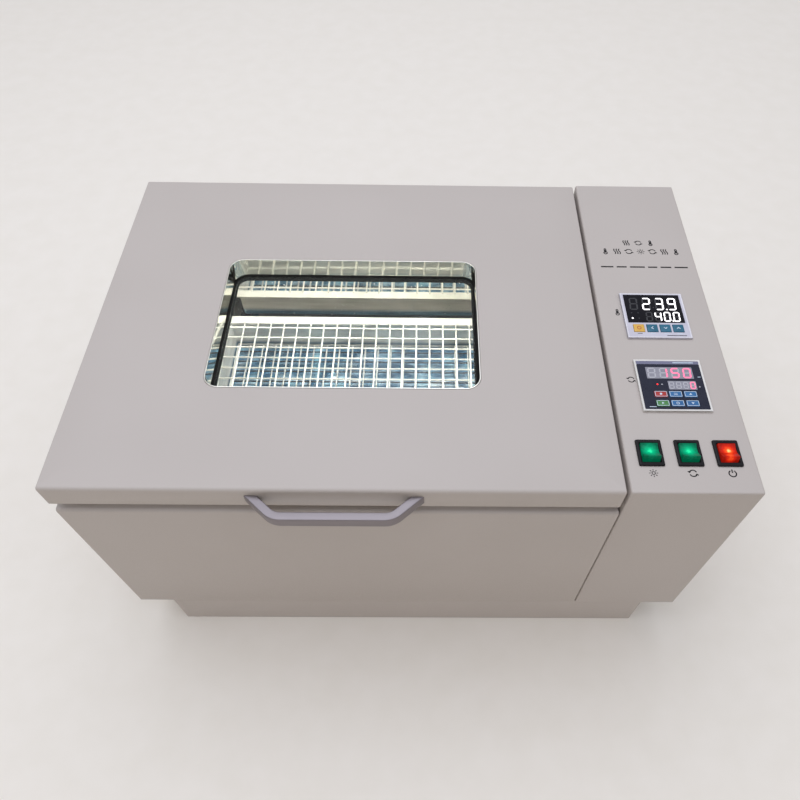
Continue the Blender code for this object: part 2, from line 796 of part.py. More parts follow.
def instrument(name, y, mat):
    """A panel controller: a flange on the panel and a case below it."""
    half_x, half_y = INSTRUMENT[0] / 2, INSTRUMENT[1] / 2
    body_x, body_y = INSTRUMENT_BODY[0] / 2, INSTRUMENT_BODY[1] / 2
    middle = y + INSTRUMENT_SHIFT
    top = HEIGHT + GAP + INSTRUMENT_FLANGE
    case = box(
        name,
        (PANEL_X - half_x, middle - half_y, HEIGHT + GAP),
        (PANEL_X + half_x, middle + half_y, top),
        mat,
    )
    join_box(
        case,
        f"{name}_body",
        (PANEL_X - body_x, middle - body_y, top - INSTRUMENT_DEPTH),
        (PANEL_X + body_x, middle + body_y, HEIGHT + 1 * MM),
    )
    return case, top


def add_key(case, name, x, y, size, face, mat):
    """A key in its own pocket, on an empty at its middle that its joint slides."""
    half_x, half_y = size[0] / 2, size[1] / 2
    depth = KEY_HEIGHT - KEY_STAND + KEY_TRAVEL + GAP
    cut_box(
        case,
        f"{name}_pocket",
        (x - half_x - GAP, y - half_y - GAP, face - depth),
        (x + half_x + GAP, y + half_y + GAP, face + 1 * MM),
    )
    top = face + KEY_STAND
    box(name, (x - half_x, y - half_y, top - KEY_HEIGHT), (x + half_x, y + half_y, top), mat)


def add_window(case, name, y, low, high, face, mat):
    """A display window let into the instrument's face, flush with it."""
    depth = 2 * MM
    low = (PANEL_X + low[0], y + low[1])
    high = (PANEL_X + high[0], y + high[1])
    cut_box(
        case,
        f"{name}_pocket",
        (low[0] - GAP, low[1] - GAP, face - depth - GAP),
        (high[0] + GAP, high[1] + GAP, face + 1 * MM),
    )
    box(name, (*low, face - depth), (*high, face), mat)


def build_instruments():
    case, face = instrument("temp_controller", TEMP_Y, GREY_PLASTIC)
    add_window(
        case, "temp_display", TEMP_Y, (-32 * MM, -10.4 * MM), (32 * MM, 33.8 * MM), face, DISPLAY
    )
    for label, x in TEMP_KEY_X.items():
        mat = KEY_YELLOW if label == "set" else KEY_TEAL
        add_key(case, f"temp_key_{label}", PANEL_X + x, TEMP_Y + TEMP_KEY_Y, TEMP_KEY, face, mat)

    case, face = instrument("speed_controller", SPEED_Y, WHITE_PLASTIC)
    add_window(
        case, "speed_display", SPEED_Y, (-27 * MM, -5.8 * MM), (30 * MM, 27.5 * MM), face, GREY_DISPLAY
    )
    for names, y in zip(SPEED_KEY_NAMES, SPEED_KEY_Y):
        for label, x in zip(names, SPEED_KEY_X):
            mat = {"stop": KEY_RED, "run": KEY_GREEN}.get(label, KEY_BLUE)
            name = f"speed_key_{label}"
            add_key(case, name, PANEL_X + x, SPEED_Y + y, SPEED_KEY, face, mat)


def rocker_outline():
    """A rocker's side view: two raised ends, a shallow valley and a rounded underside."""
    half = [(10.2 * MM, -2 * MM), (10.2 * MM, 2 * MM), (8.8 * MM, 6.6 * MM)]
    mirrored = [(-y, z) for y, z in reversed(half)]
    return half + [(0, 4.2 * MM)] + mirrored + [(-5 * MM, -7 * MM), (5 * MM, -7 * MM)]


def build_rockers():
    tilt = math.radians(ROCKER_TILT)
    for name, x in ROCKER_X.items():
        half_x, half_y = ROCKER_BEZEL[0] / 2, ROCKER_BEZEL[1] / 2
        frame = box(
            f"rocker_frame_{name}",
            (x - half_x, ROCKER_Y - half_y, HEIGHT + GAP),
            (x + half_x, ROCKER_Y + half_y, HEIGHT + 2.4 * MM),
            BLACK_PLASTIC,
        )
        body_x, body_y = ROCKER_BODY[0] / 2, ROCKER_BODY[1] / 2
        join_box(
            frame,
            f"{name}_switch_body",
            (x - body_x, ROCKER_Y - body_y, HEIGHT - 24 * MM),
            (x + body_x, ROCKER_Y + body_y, HEIGHT + 1 * MM),
        )
        open_x, open_y = ROCKER_OPENING[0] / 2, ROCKER_OPENING[1] / 2
        cut_box(
            frame,
            f"{name}_switch_hollow",
            (x - open_x, ROCKER_Y - open_y, HEIGHT - 16 * MM),
            (x + open_x, ROCKER_Y + open_y, HEIGHT + 5 * MM),
        )
        side_view = [
            (y * math.cos(tilt) + z * math.sin(tilt), z * math.cos(tilt) - y * math.sin(tilt))
            for y, z in rocker_outline()
        ]
        lens = ROCKER_RED if name == "power" else ROCKER_GREEN
        plate(
            f"rocker_{name}",
            [side_view],
            0,
            ROCKER_WIDTH,
            lens,
            rotation=(math.radians(90), 0, math.radians(90)),
            location=(x, ROCKER_Y, ROCKER_PIVOT_Z),
        )


# Shaking drive below the chamber floor

def crank_pin_offset():
    angle = math.radians(CRANK_REST_ANGLE)
    return ORBIT_RADIUS * math.cos(angle), ORBIT_RADIUS * math.sin(angle)


def crank_profile(bottom):
    """Shaft and disc of a crank, turned in one piece."""
    return [
        (0, CRANK_DISC_TOP),
        (CRANK_DISC_RADIUS, CRANK_DISC_TOP),
        (CRANK_DISC_RADIUS, CRANK_DISC_Z),
        (SHAFT_RADIUS, CRANK_DISC_Z),
        (SHAFT_RADIUS, bottom),
        (0, bottom),
    ]


def groove_profile(radius):
    """A flat-belt pulley's outer side with its groove."""
    flank = 2 * MM
    return [
        (radius, PULLEY_TOP),
        (radius, PULLEY_TOP - flank),
        (radius - GROOVE_DEPTH, PULLEY_TOP - flank),
        (radius - GROOVE_DEPTH, PULLEY_BOTTOM + flank),
        (radius, PULLEY_BOTTOM + flank),
        (radius, PULLEY_BOTTOM),
    ]


def add_crank_pin(crank, x, y):
    dx, dy = crank_pin_offset()
    shoulder = cylinder(
        f"{crank.name}_shoulder",
        PIN_RADIUS + 3 * MM,
        (x + dx, y + dy, CRANK_DISC_TOP - 1 * MM),
        (x + dx, y + dy, PLATFORM_Z - GAP),
        ZINC,
        sides=16,
    )
    boolean(crank, shoulder, "UNION")
    pin = cylinder(
        f"{crank.name}_pin",
        PIN_RADIUS,
        (x + dx, y + dy, CRANK_DISC_TOP - 1 * MM),
        (x + dx, y + dy, PIN_TOP),
        ZINC,
        sides=16,
    )
    boolean(crank, pin, "UNION")


def build_drive():
    centres = crank_centres()
    dx, dy = crank_pin_offset()
    x0, y0 = centres[0]
    profile = crank_profile(PULLEY_BOTTOM)[:4]
    profile += [(SHAFT_RADIUS, PULLEY_TOP)] + groove_profile(CRANK_PULLEY_RADIUS)
    profile += [(0, PULLEY_BOTTOM)]
    crank = turned("crank_wheel", profile, (x0, y0, 0), ZINC, steps=32)
    add_crank_pin(crank, x0, y0)
    for index, (x, y) in enumerate(centres[1:], start=1):
        idler = turned(
            f"idler_crank_{index}", crank_profile(BOSS_BOTTOM - 2 * MM), (x, y, 0), ZINC, steps=20
        )
        add_crank_pin(idler, x, y)

    half_x, half_y = PLINTH_WIDTH / 2 - SHEET - GAP, PLINTH_DEPTH / 2 - SHEET - GAP
    chassis = box(
        "drive_chassis",
        (-half_x, -half_y, CHASSIS_Z),
        (half_x, half_y, CHASSIS_Z + CHASSIS_THICKNESS),
        CAST,
    )
    for index, (x, y) in enumerate(centres):
        boss = cylinder(
            f"bearing_boss_{index}", BOSS_RADIUS, (x, y, BOSS_BOTTOM), (x, y, BOSS_TOP), CAST, sides=16
        )
        boolean(chassis, boss, "UNION")
    bores = centres + [(MOTOR_X, MOTOR_Y)]
    for index, (x, y) in enumerate(bores):
        bore = cylinder(
            f"bearing_bore_{index}",
            SHAFT_RADIUS + GAP,
            (x, y, BOSS_BOTTOM - 5 * MM),
            (x, y, BOSS_TOP + 5 * MM),
            CAST,
            sides=20,
        )
        boolean(chassis, bore)

    tray_pivot = pivot("tray_pivot", (x0 + dx, y0 + dy, PLATFORM_Z))
    centre_x, centre_y = x0 + dx, y0 + dy
    outline = rounded_rect(
        (centre_x - PLATFORM_WIDTH / 2, centre_y - PLATFORM_DEPTH / 2),
        (centre_x + PLATFORM_WIDTH / 2, centre_y + PLATFORM_DEPTH / 2),
        10 * MM,
        2,
    )
    holes = [arc((x + dx, y + dy), PIN_RADIUS + GAP, 0, 337.5, 15) for x, y in centres]
    plate(
        "shaker_platform", [outline] + holes, PLATFORM_Z, PLATFORM_THICKNESS, CAST, tray_pivot
    )
    build_tray(tray_pivot, centre_x, centre_y)
    build_motor(x0, y0)


def build_tray(tray_pivot, x, y):
    half_x, half_y = TRAY_INNER_WIDTH / 2, TRAY_INNER_DEPTH / 2
    tray = open_box(
        "flask_tray",
        (x - half_x, y - half_y, TRAY_FLOOR + SHEET_THIN),
        (x + half_x, y + half_y, TRAY_TOP),
        STEEL,
        [(0, 0, 1)],
        tray_pivot,
    )
    add_wall(tray, SHEET_THIN, 1.0)
    frame_x, frame_y = half_x + GRID_FRAME, half_y + GRID_FRAME
    wire_grid("upper_grid", x, y, frame_x, frame_y, half_x, half_y, TRAY_TOP + GAP, tray_pivot)
    inner = GAP + 1 * MM
    wire_grid(
        "lower_grid",
        x,
        y,
        half_x - inner,
        half_y - inner,
        half_x - inner - 4 * MM,
        half_y - inner - 4 * MM,
        LOWER_GRID_Z,
        tray_pivot,
    )


def grid_lines(count, pitch, half):
    """Clear spans between wires along one side, from one frame bar to the other."""
    centres = [pitch * (i - (count - 1) / 2) for i in range(count)]
    edges = [-half]
    for centre in centres:
        edges += [centre - WIRE / 2, centre + WIRE / 2]
    edges.append(half)
    return list(zip(edges[0::2], edges[1::2]))


def wire_grid(name, x, y, frame_x, frame_y, inner_x, inner_y, z, parent):
    """A welded grid: a flat frame with every second wire of the real mesh."""
    outlines = [rounded_rect((x - frame_x, y - frame_y), (x + frame_x, y + frame_y))]
    for x_start, x_end in grid_lines(GRID_COLUMNS, GRID_PITCH_X, inner_x):
        for y_start, y_end in grid_lines(GRID_ROWS, GRID_PITCH_Y, inner_y):
            outlines.append(rounded_rect((x + x_start, y + y_start), (x + x_end, y + y_end)))
    plate(name, outlines, z, WIRE, STEEL, parent)


def belt_outline(x0, y0, grow):
    """The belt's loop round both pulleys, grown from the bottom of their grooves."""
    big = CRANK_PULLEY_RADIUS - GROOVE_DEPTH + GAP + grow
    small = MOTOR_PULLEY_RADIUS - GROOVE_DEPTH + GAP + grow
    run_x, run_y = MOTOR_X - x0, MOTOR_Y - y0
    length = math.hypot(run_x, run_y)
    heading = math.degrees(math.atan2(run_y, run_x))
    lean = math.degrees(math.acos((big - small) / length))
    wrap_big = arc((x0, y0), big, heading + lean, heading + 360 - lean, 24)
    wrap_small = arc((MOTOR_X, MOTOR_Y), small, heading - lean, heading + lean, 10)
    return wrap_big + wrap_small


def build_motor(x0, y0):
    loops = [belt_outline(x0, y0, BELT_THICKNESS), belt_outline(x0, y0, 0)]
    plate("drive_belt", loops, PULLEY_BOTTOM + 2.5 * MM, 7 * MM, BLACK_RUBBER)

    shaft_top = 100 * MM
    profile = [(0, shaft_top), (SHAFT_RADIUS, shaft_top), (SHAFT_RADIUS, PULLEY_TOP)]
    profile += groove_profile(MOTOR_PULLEY_RADIUS) + [(0, PULLEY_BOTTOM)]
    turned("motor_pulley", profile, (MOTOR_X, MOTOR_Y, 0), ZINC, steps=24)

    bottom = CHASSIS_Z + CHASSIS_THICKNESS + GAP
    top = 160 * MM
    bore = SHAFT_RADIUS + GAP
    motor_profile = [
        (0, top),
        (MOTOR_RADIUS, top),
        (MOTOR_RADIUS, bottom + 5 * MM),
        (MOTOR_RADIUS + 1 * MM, bottom + 5 * MM),
        (MOTOR_RADIUS + 1 * MM, bottom),
        (bore, bottom),
        (bore, shaft_top + GAP),
        (0, shaft_top + GAP),
    ]
    turned("drive_motor", motor_profile, (MOTOR_X, MOTOR_Y, 0), BLACK_PLASTIC, steps=24)


# Air circulation: duct, heater, fan and its motor

def build_air():
    duct = open_box(
        "air_duct",
        (CHAMBER_RIGHT + SHEET_THIN + GAP, -DUCT_HALF_DEPTH, DUCT_BOTTOM),
        (DUCT_RIGHT, DUCT_HALF_DEPTH, DUCT_TOP),
        ZINC,
        [(-1, 0, 0)],
    )
    add_wall(duct, SHEET_THIN)
    boolean(duct, fan_hole("fan_hole_duct", DUCT_RIGHT - 5 * MM, DUCT_RIGHT + 5 * MM))

    bm = bmesh.new()
    ring_radius, rod_radius, sides, turns = 52 * MM, 3.5 * MM, 8, 24
    for i in range(turns):
        angle = math.radians(280 + 340 * i / (turns - 1))
        ring = []
        for j in range(sides):
            around = 2 * math.pi * j / sides
            radius = ring_radius + rod_radius * math.cos(around)
            point = (rod_radius * math.sin(around), radius * math.cos(angle), radius * math.sin(angle))
            ring.append(bm.verts.new(point))
        if i:
            for j in range(sides):
                k = (j + 1) % sides
                bm.faces.new((last[j], last[k], ring[k], ring[j]))
        else:
            bm.faces.new(list(reversed(ring)))
        last = ring
    bm.faces.new(last)
    mesh_object("heater", bm, (194 * MM, FAN_Y, FAN_Z), ZINC)

    wheel_x, blade_depth, shaft_end = 182 * MM, 12 * MM, 245 * MM
    hub = cylinder(
        "fan_wheel",
        FAN_RADIUS,
        (wheel_x + blade_depth, FAN_Y, FAN_Z),
        (wheel_x + blade_depth + 1.5 * MM, FAN_Y, FAN_Z),
        ALUMINIUM,
        sides=24,
    )
    shaft = cylinder(
        "fan_shaft", 4 * MM, (wheel_x, FAN_Y, FAN_Z), (shaft_end, FAN_Y, FAN_Z), ALUMINIUM, sides=12
    )
    boolean(hub, shaft, "UNION")
    boolean(hub, fan_blades(wheel_x, blade_depth), "UNION")

    bore = 4 * MM + GAP
    back = 275 * MM - COLUMN_LEFT
    motor = turned(
        "fan_motor",
        [
            (0, back),
            (24 * MM, back),
            (24 * MM, 3 * MM),
            (bore, 3 * MM),
            (bore, shaft_end + GAP - COLUMN_LEFT),
            (0, shaft_end + GAP - COLUMN_LEFT),
        ],
        (COLUMN_LEFT, FAN_Y, FAN_Z),
        CAST,
        steps=20,
    )
    motor.rotation_euler = (0, math.radians(90), 0)


def fan_blades(wheel_x, depth):
    """Ten straight blades standing on the fan's back plate."""
    bm = bmesh.new()
    count, inner, outer, thickness = 10, 14 * MM, 33 * MM, 1.2 * MM
    for i in range(count):
        made = bmesh.ops.create_cube(bm, size=1.0)["verts"]
        bmesh.ops.scale(bm, vec=(depth + 0.5 * MM, outer - inner, thickness), verts=made)
        bmesh.ops.translate(bm, vec=(0, (inner + outer) / 2, 0), verts=made)
        turn = Matrix.Rotation(math.radians(360 * i / count), 3, "X")
        bmesh.ops.rotate(bm, cent=(0, 0, 0), matrix=turn, verts=made)
    place = (wheel_x + (depth + 0.5 * MM) / 2, FAN_Y, FAN_Z)
    return mesh_object("fan_blades", bm, place, ALUMINIUM)


# Fittings inside the chamber

def build_fittings():
    wall = CHAMBER_RIGHT - GAP
    probe = turned(
        "temperature_probe",
        [(0, 0), (9 * MM, 0), (9 * MM, -3 * MM), (3 * MM, -3 * MM), (3 * MM, -48 * MM), (0, -50 * MM)],
        (wall, 130 * MM, 250 * MM),
        STEEL,
        steps=12,
    )
    probe.rotation_euler = (0, math.radians(90), 0)

    lamp_wall = CHAMBER_HALF_DEPTH - GAP
    lamp = box(
        "chamber_lamp",
        (-10 * MM, lamp_wall - 6 * MM, 262 * MM),
        (90 * MM, lamp_wall, 292 * MM),
        LAMP,
    )
    tube = cylinder(
        "lamp_tube",
        10 * MM,
        (-6 * MM, lamp_wall - 14 * MM, 277 * MM),
        (86 * MM, lamp_wall - 14 * MM, 277 * MM),
        LAMP,
        sides=12,
    )
    boolean(lamp, tube, "UNION")


build_base()
build_cabinet()
lid_pivot = pivot("lid_pivot", (0, HINGE_Y, HINGE_Z))
build_lid(lid_pivot)
build_hinges(lid_pivot)
build_column()
build_instruments()
build_rockers()
build_drive()
build_air()
build_fittings()
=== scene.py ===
"""Looks of the benchtop air-bath shaker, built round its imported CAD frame.

In the frame of the CAD part, +X is to the control column, +Y to the hinges and +Z up. Shapes are drawn
in millimetres, and solid() turns them into metres. The lights and the camera are in metres.
"""

import math

import bmesh
import bpy
from mathutils import Matrix, Vector, noise


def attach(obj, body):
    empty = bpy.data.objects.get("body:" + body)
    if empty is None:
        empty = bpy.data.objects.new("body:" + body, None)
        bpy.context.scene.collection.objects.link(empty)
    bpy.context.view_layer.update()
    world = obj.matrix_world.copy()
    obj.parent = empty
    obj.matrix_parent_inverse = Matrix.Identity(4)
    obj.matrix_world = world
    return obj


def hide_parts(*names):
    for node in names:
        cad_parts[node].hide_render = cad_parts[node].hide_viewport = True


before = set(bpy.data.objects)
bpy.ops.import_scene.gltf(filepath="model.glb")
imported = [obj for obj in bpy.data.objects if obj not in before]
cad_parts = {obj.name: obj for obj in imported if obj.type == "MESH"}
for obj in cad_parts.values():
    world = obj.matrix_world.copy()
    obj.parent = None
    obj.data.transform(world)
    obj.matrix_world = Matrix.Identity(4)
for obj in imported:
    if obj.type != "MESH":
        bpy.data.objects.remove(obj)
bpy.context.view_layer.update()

METRE = 1000
MM = 1 / METRE
GAP = 0.3

# Cabinet
LEFT, RIGHT = -347, 347
FRONT, BACK = -238, 238
TOP = 342
PLINTH_TOP = 66
SEAM = 217.2
SHOULDER = 301.2
NECK = 9
NECK_TOP = 311
SHEET = 1.5
CORNER = 2.4
FOLD = 4
FOLD_SIDE = 1.8

# Lid and its window
LID_RIGHT = 214.5
LID_BOTTOM = 314.4
WINDOW = (-213.4, -112.4, 80, 86.5)
WINDOW_RADIUS = 17
PAN_TOP = 319.4

# Tray at rest and its grids
TRAY_X, TRAY_Y = -74.071, 7.071
TRAY_HALF = (202, 168)
TRAY_SHEET = 1.2
TRAY_FLOOR = 98.5
TRAY_TOP = 146
WIRE = 2.4
PITCH = 20
COLUMNS, ROWS = 19, 17
LOWER_GRID = 105

# Control panel
COLUMN_LEFT = 218
PANEL_X = 281
TEMP_Y = -4.7
SPEED_Y = -107.1
FACE = 344.5
CASE = (36, 35)
CASE_SHIFT = 1.4
ROCKER_Y = -191.9
ROCKERS = {"light": 242.8, "shake": 281.4, "power": 320}
ROCKER_PIVOT = 341
TEMP_KEYS = {"set": -21.7, "shift": -6.8, "down": 7.9, "up": 22.5}
TEMP_KEY_Y = -19.3
SPEED_KEYS = {
    "stop": (-14.5, -11.7), "mode": (1, -11.7), "raise": (16.6, -11.7),
    "run": (-14.5, -23.9), "timer": (1, -23.9), "lower": (16.6, -23.9),
}
KEY_TOP = FACE + 0.8
KEY_MARK = (KEY_TOP - 0.02, KEY_TOP + 0.06)


# Material building

class Look:
    """A procedural material in the making, on the object's own coordinates, or the world's sky."""

    def __init__(self, name, world=None):
        self.owner = world or bpy.data.materials.new(name)
        self.owner.use_nodes = True
        self.nodes = self.owner.node_tree.nodes
        self.links = self.owner.node_tree.links
        self.shader = self.nodes["Background" if world else "Principled BSDF"]
        self.place = self.node("TexCoord", "Generated" if world else "Object")

    def join(self, value, socket):
        """Feeds a socket with another node's output, a colour or a number."""
        if hasattr(value, "links"):
            self.links.new(value, socket)
        else:
            socket.default_value = (*value, 1) if socket.type == "RGBA" else value

    def node(self, kind, output, settings=None, **inputs):
        """Adds a node and returns one of its outputs; inputs have underscores for spaces."""
        node = self.nodes.new("ShaderNode" + kind)
        for name, value in (settings or {}).items():
            setattr(node, name, value)
        for name, value in inputs.items():
            self.join(value, node.inputs[name.replace("_", " ")])
        return node.outputs[output]

    def math(self, operation, *values):
        node = self.nodes.new("ShaderNodeMath")
        node.operation = operation
        for value, socket in zip(values, node.inputs):
            self.join(value, socket)
        return node.outputs["Value"]

    def moved(self, stretch, centre=(0, 0, 0)):
        """The coordinates about a centre, stretched: both in metres."""
        settings = {"vector_type": "TEXTURE"}
        return self.node("Mapping", "Vector", settings, Vector=self.place, Location=centre, Scale=stretch)

    def noise(self, size, detail=3, stretch=(1, 1, 1)):
        """Noise whose blotches are about this big."""
        place = self.moved(stretch)
        return self.node("TexNoise", "Fac", Vector=place, Scale=1 / (size * MM), Detail=detail)

    def spans(self, value, low, high, start=0.35, end=0.65):
        return self.node(
            "MapRange", "Result", Value=value, From_Min=start, From_Max=end, To_Min=low, To_Max=high
        )

    def ramp(self, value, stops):
        color = self.node("ValToRGB", "Color", Fac=value)
        ends = color.node.color_ramp.elements
        while len(ends) < len(stops):
            ends.new(0.5)
        for end, (position, tone) in zip(ends, stops):
            end.position = position
            end.color = (*tone, 1)
        return color

    def tones(self, value, dark, light):
        return self.ramp(value, [(0.3, dark), (0.7, light)])

    def blend(self, first, second, amount):
        node = self.nodes.new("ShaderNodeMix")
        node.data_type = "RGBA"
        for value, socket in ((amount, 0), (first, 6), (second, 7)):
            self.join(value, node.inputs[socket])
        return node.outputs[2]

    def bump(self, height, depth, below=None):
        """Relief of a depth, on top of another relief if there is one."""
        under = {"Normal": below} if below else {}
        return self.node("Bump", "Normal", Strength=1.0, Distance=depth * MM, Height=height, **under)

    def feed(self, **sockets):
        """Connects values to the shader's sockets and returns the material."""
        for name, value in sockets.items():
            self.join(value, self.shader.inputs[name.replace("_", " ")])
        return self.owner


def surface(name, dark, light, rough, grain, patch, depth, stretch=(1, 1, 1), **more):
    """A finish whose colour drifts in patches and whose sheen and relief follow a fine grain."""
    look = Look(name)
    fine = look.noise(grain, 3, stretch)
    wide = look.noise(patch, 2, stretch)
    speckle = look.ramp(fine, [(0.25, tuple(c * 0.93 for c in dark)), (0.75, light)])
    return look.feed(
        Base_Color=look.blend(look.tones(wide, dark, light), speckle, 0.4),
        Roughness=look.spans(fine, *rough),
        Normal=look.bump(fine, depth),
        **more,
    )


def powder_coat():
    look = Look("powder_coat")
    peel = look.noise(1.6, 2)
    fine = look.noise(0.5, 2)
    tone = look.tones(look.noise(160, 2), (0.512, 0.462, 0.430), (0.54, 0.489, 0.457))
    fleck = look.tones(fine, (0.47, 0.423, 0.392), (0.575, 0.523, 0.488))
    return look.feed(
        Base_Color=look.blend(tone, fleck, 0.35),
        Roughness=look.spans(peel, 0.42, 0.56),
        Normal=look.bump(fine, 0.006, look.bump(peel, 0.02)),
        Specular_IOR_Level=0.4,
    )


def wrinkled_film():
    """Blue protective film left on the tray's floor, with painted highlight on its raised folds and crease
    tops and painted shade in the hollows, following the relief.
    """
    look = Look("protective_film")
    folds = look.noise(26, 4, (1, 2.2, 1))
    creases = look.noise(9, 3, (2.4, 1, 1))
    blues = [(0.3, (0.008, 0.035, 0.075)), (0.55, (0.03, 0.11, 0.20)), (0.75, (0.22, 0.42, 0.52))]
    # Painted highlight and shade: the colour rises with the same fold and crease noise that raises the
    # relief.
    tone = look.ramp(folds, blues)
    crest_highlight = look.ramp(creases, [(0.4, (0.012, 0.06, 0.12)), (0.7, (0.36, 0.54, 0.63))])
    return look.feed(
        Base_Color=look.blend(tone, crest_highlight, 0.3),
        Roughness=look.spans(creases, 0.16, 0.34),
        Normal=look.bump(creases, 0.5, look.bump(folds, 1.2)),
        Coat_Weight=0.6,
        Coat_Roughness=0.12,
    )


def spotted_mirror():
    """The chamber's polished sheet, with fine brush lines and a few small white spots that are not metal.
    """
    look = Look("bright_liner")
    brush = look.noise(0.7, 3, (60, 60, 1))
    steel = look.tones(look.noise(60, 2), (0.70, 0.68, 0.63), (0.82, 0.80, 0.76))
    cells = look.node("TexVoronoi", "Distance", Vector=look.place, Scale=1 / (6 * MM))
    white_spot = look.spans(cells, 1, 0, 0.08, 0.13)
    return look.feed(
        Base_Color=look.blend(steel, (0.85, 0.86, 0.86), white_spot),
        Roughness=look.spans(brush, 0.02, 0.06),
        Metallic=look.spans(white_spot, 1, 0, 0, 1),
        Normal=look.bump(brush, 0.003),
    )


def tray_steel():
    """Matt steel, streaked along its length, turning blue along its foot."""
    look = Look("matt_tray_steel")
    grain = look.noise(0.6, 3, (25, 25, 1))
    streak = look.noise(7, 3, (9, 9, 1))
    greys = [(0.3, (0.54, 0.51, 0.465)), (0.55, (0.74, 0.725, 0.68)), (0.75, (0.9, 0.89, 0.86))]
    tone = look.ramp(streak, greys)
    patch = look.tones(look.noise(45, 2, (2, 2, 1)), (0.6, 0.57, 0.53), (0.88, 0.87, 0.84))
    height = look.node("SeparateXYZ", "Z", Vector=look.place)
    foot = look.spans(height, 1, 0, (TRAY_FLOOR + 8) * MM, (TRAY_FLOOR + 15) * MM)
    blue = look.tones(streak, (0.02, 0.07, 0.13), (0.12, 0.25, 0.36))
    return look.feed(
        Base_Color=look.blend(look.blend(tone, patch, 0.5), blue, foot),
        Roughness=look.spans(grain, 0.34, 0.48),
        Metallic=0.6,
        Normal=look.bump(grain, 0.006),
    )


def clear_glass():
    """Window glass that lets light straight through, with a greenish tint and gloss."""
    look = Look("clear_glass")
    look.nodes.remove(look.shader)
    smear = look.noise(35)
    tint = look.tones(smear, (0.93, 0.96, 0.945), (0.96, 0.98, 0.97))
    clear = look.node("BsdfTransparent", "BSDF", Color=tint)
    sheen = look.spans(smear, 0.02, 0.06)
    gloss = look.node("BsdfGlossy", "BSDF", Color=(0.9, 0.92, 0.92), Roughness=sheen)
    steep = look.math("POWER", look.node("LayerWeight", "Facing", Blend=0.5), 5)
    share = look.math("MULTIPLY_ADD", steep, 0.9, 0.025)
    mix = look.nodes.new("ShaderNodeMixShader")
    for value, socket in zip((share, clear, gloss), mix.inputs):
        look.join(value, socket)
    look.join(mix.outputs["Shader"], look.nodes["Material Output"].inputs["Surface"])
    return look.owner


def glowing(name, color, strength):
    """A segment, lamp or diode lit from inside."""
    look = Look(name)
    grain = look.noise(2.5, 2)
    tone = look.tones(grain, tuple(c * 0.86 for c in color), color)
    return look.feed(
        Base_Color=tone,
        Roughness=look.spans(grain, 0.22, 0.36),
        Emission_Color=tone,
        Emission_Strength=strength,
    )


def lit_lens(name, glass, tones, spots):
    """Clear coloured plastic over lamps: spots are (centre, reach), tones run from far to near."""
    look = Look(name)
    glow = 0.0
    for centre, reach in spots:
        place = look.moved([reach * MM] * 3, [c * MM for c in centre])
        ball = look.node("TexGradient", "Fac", {"gradient_type": "SPHERICAL"}, Vector=place)
        glow = look.math("MAXIMUM", glow, ball)
    ribs = look.noise(2.2, 2)
    wave = look.math("ADD", look.spans(ribs, -0.05, 0.05), glow)
    return look.feed(
        Base_Color=look.tones(ribs, tuple(c * 0.8 for c in glass), glass),
        Roughness=look.spans(ribs, 0.14, 0.22),
        Normal=look.bump(ribs, 0.01),
        Emission_Color=look.ramp(wave, list(zip((0.05, 0.4, 0.72, 0.9), tones))),
        Emission_Strength=1.0,
        Specular_IOR_Level=0.08,
    )


# Finishes: dark and light tone, roughness, then the size of grain and patches and the relief
DULL = {"Specular_IOR_Level": 0.2}
PAINT = powder_coat()
MIRROR = surface(
    "polished_stainless", (0.80, 0.78, 0.70), (0.90, 0.88, 0.81), (0.02, 0.05), 0.8, 40, 0.004,
    (40, 40, 1), Metallic=1,
)
LINER = spotted_mirror()
TRAY_STEEL = tray_steel()
WIRE_STEEL = surface(
    "bright_wire", (0.48, 0.47, 0.435), (0.61, 0.6, 0.56), (0.28, 0.4), 0.8, 18, 0.01, Metallic=0.25
)
# Painted shade: the lower grid's front-to-back wires are the upper grid's wire, painted darker grey as if
# in shade.
PAINTED_SHADE_WIRE = surface(
    "painted_shade_wire", (0.34, 0.345, 0.34), (0.46, 0.465, 0.45), (0.36, 0.5), 0.8, 18, 0.01, Metallic=0.25
)
# Painted deep shade: the lower grid's cross wires, painted near black as if their undersides lay in shadow.
PAINTED_DEEP_SHADE_WIRE = surface(
    "painted_deep_shade_wire", (0.012, 0.013, 0.018), (0.035, 0.038, 0.045), (0.4, 0.55), 0.8, 18, 0.01, **DULL
)
ZINC = surface("zinc_plate", (0.46, 0.47, 0.48), (0.64, 0.64, 0.62), (0.3, 0.5), 2.2, 9, 0.008, Metallic=1)
CAST = surface(
    "cast_aluminium", (0.36, 0.36, 0.37), (0.5, 0.5, 0.5), (0.5, 0.7), 0.9, 22, 0.06, Metallic=0.9
)
ANODISED = surface(
    "anodised_bow", (0.22, 0.195, 0.205), (0.29, 0.26, 0.272), (0.34, 0.46), 0.5, 30, 0.004, (20, 1, 1),
    Metallic=0.75,
)
RUBBER = surface(
    "black_rubber", (0.006, 0.006, 0.006), (0.016, 0.016, 0.015), (0.5, 0.7), 1, 25, 0.02, **DULL
)
SILICONE = surface("silicone_seal", (0.55, 0.53, 0.49), (0.66, 0.63, 0.58), (0.45, 0.6), 1.4, 40, 0.02)
WOOL = surface("mineral_wool", (0.42, 0.36, 0.2), (0.78, 0.72, 0.5), (0.9, 1.0), 2, 7, 0.8, (4, 1, 1))
BLACK = surface(
    "black_plastic", (0.006, 0.005, 0.006), (0.014, 0.013, 0.015), (0.28, 0.42), 0.7, 12, 0.015,
    Specular_IOR_Level=0.16,
)
SILVER = surface("silver_plastic", (0.56, 0.54, 0.63), (0.64, 0.62, 0.70), (0.36, 0.5), 0.6, 14, 0.01)
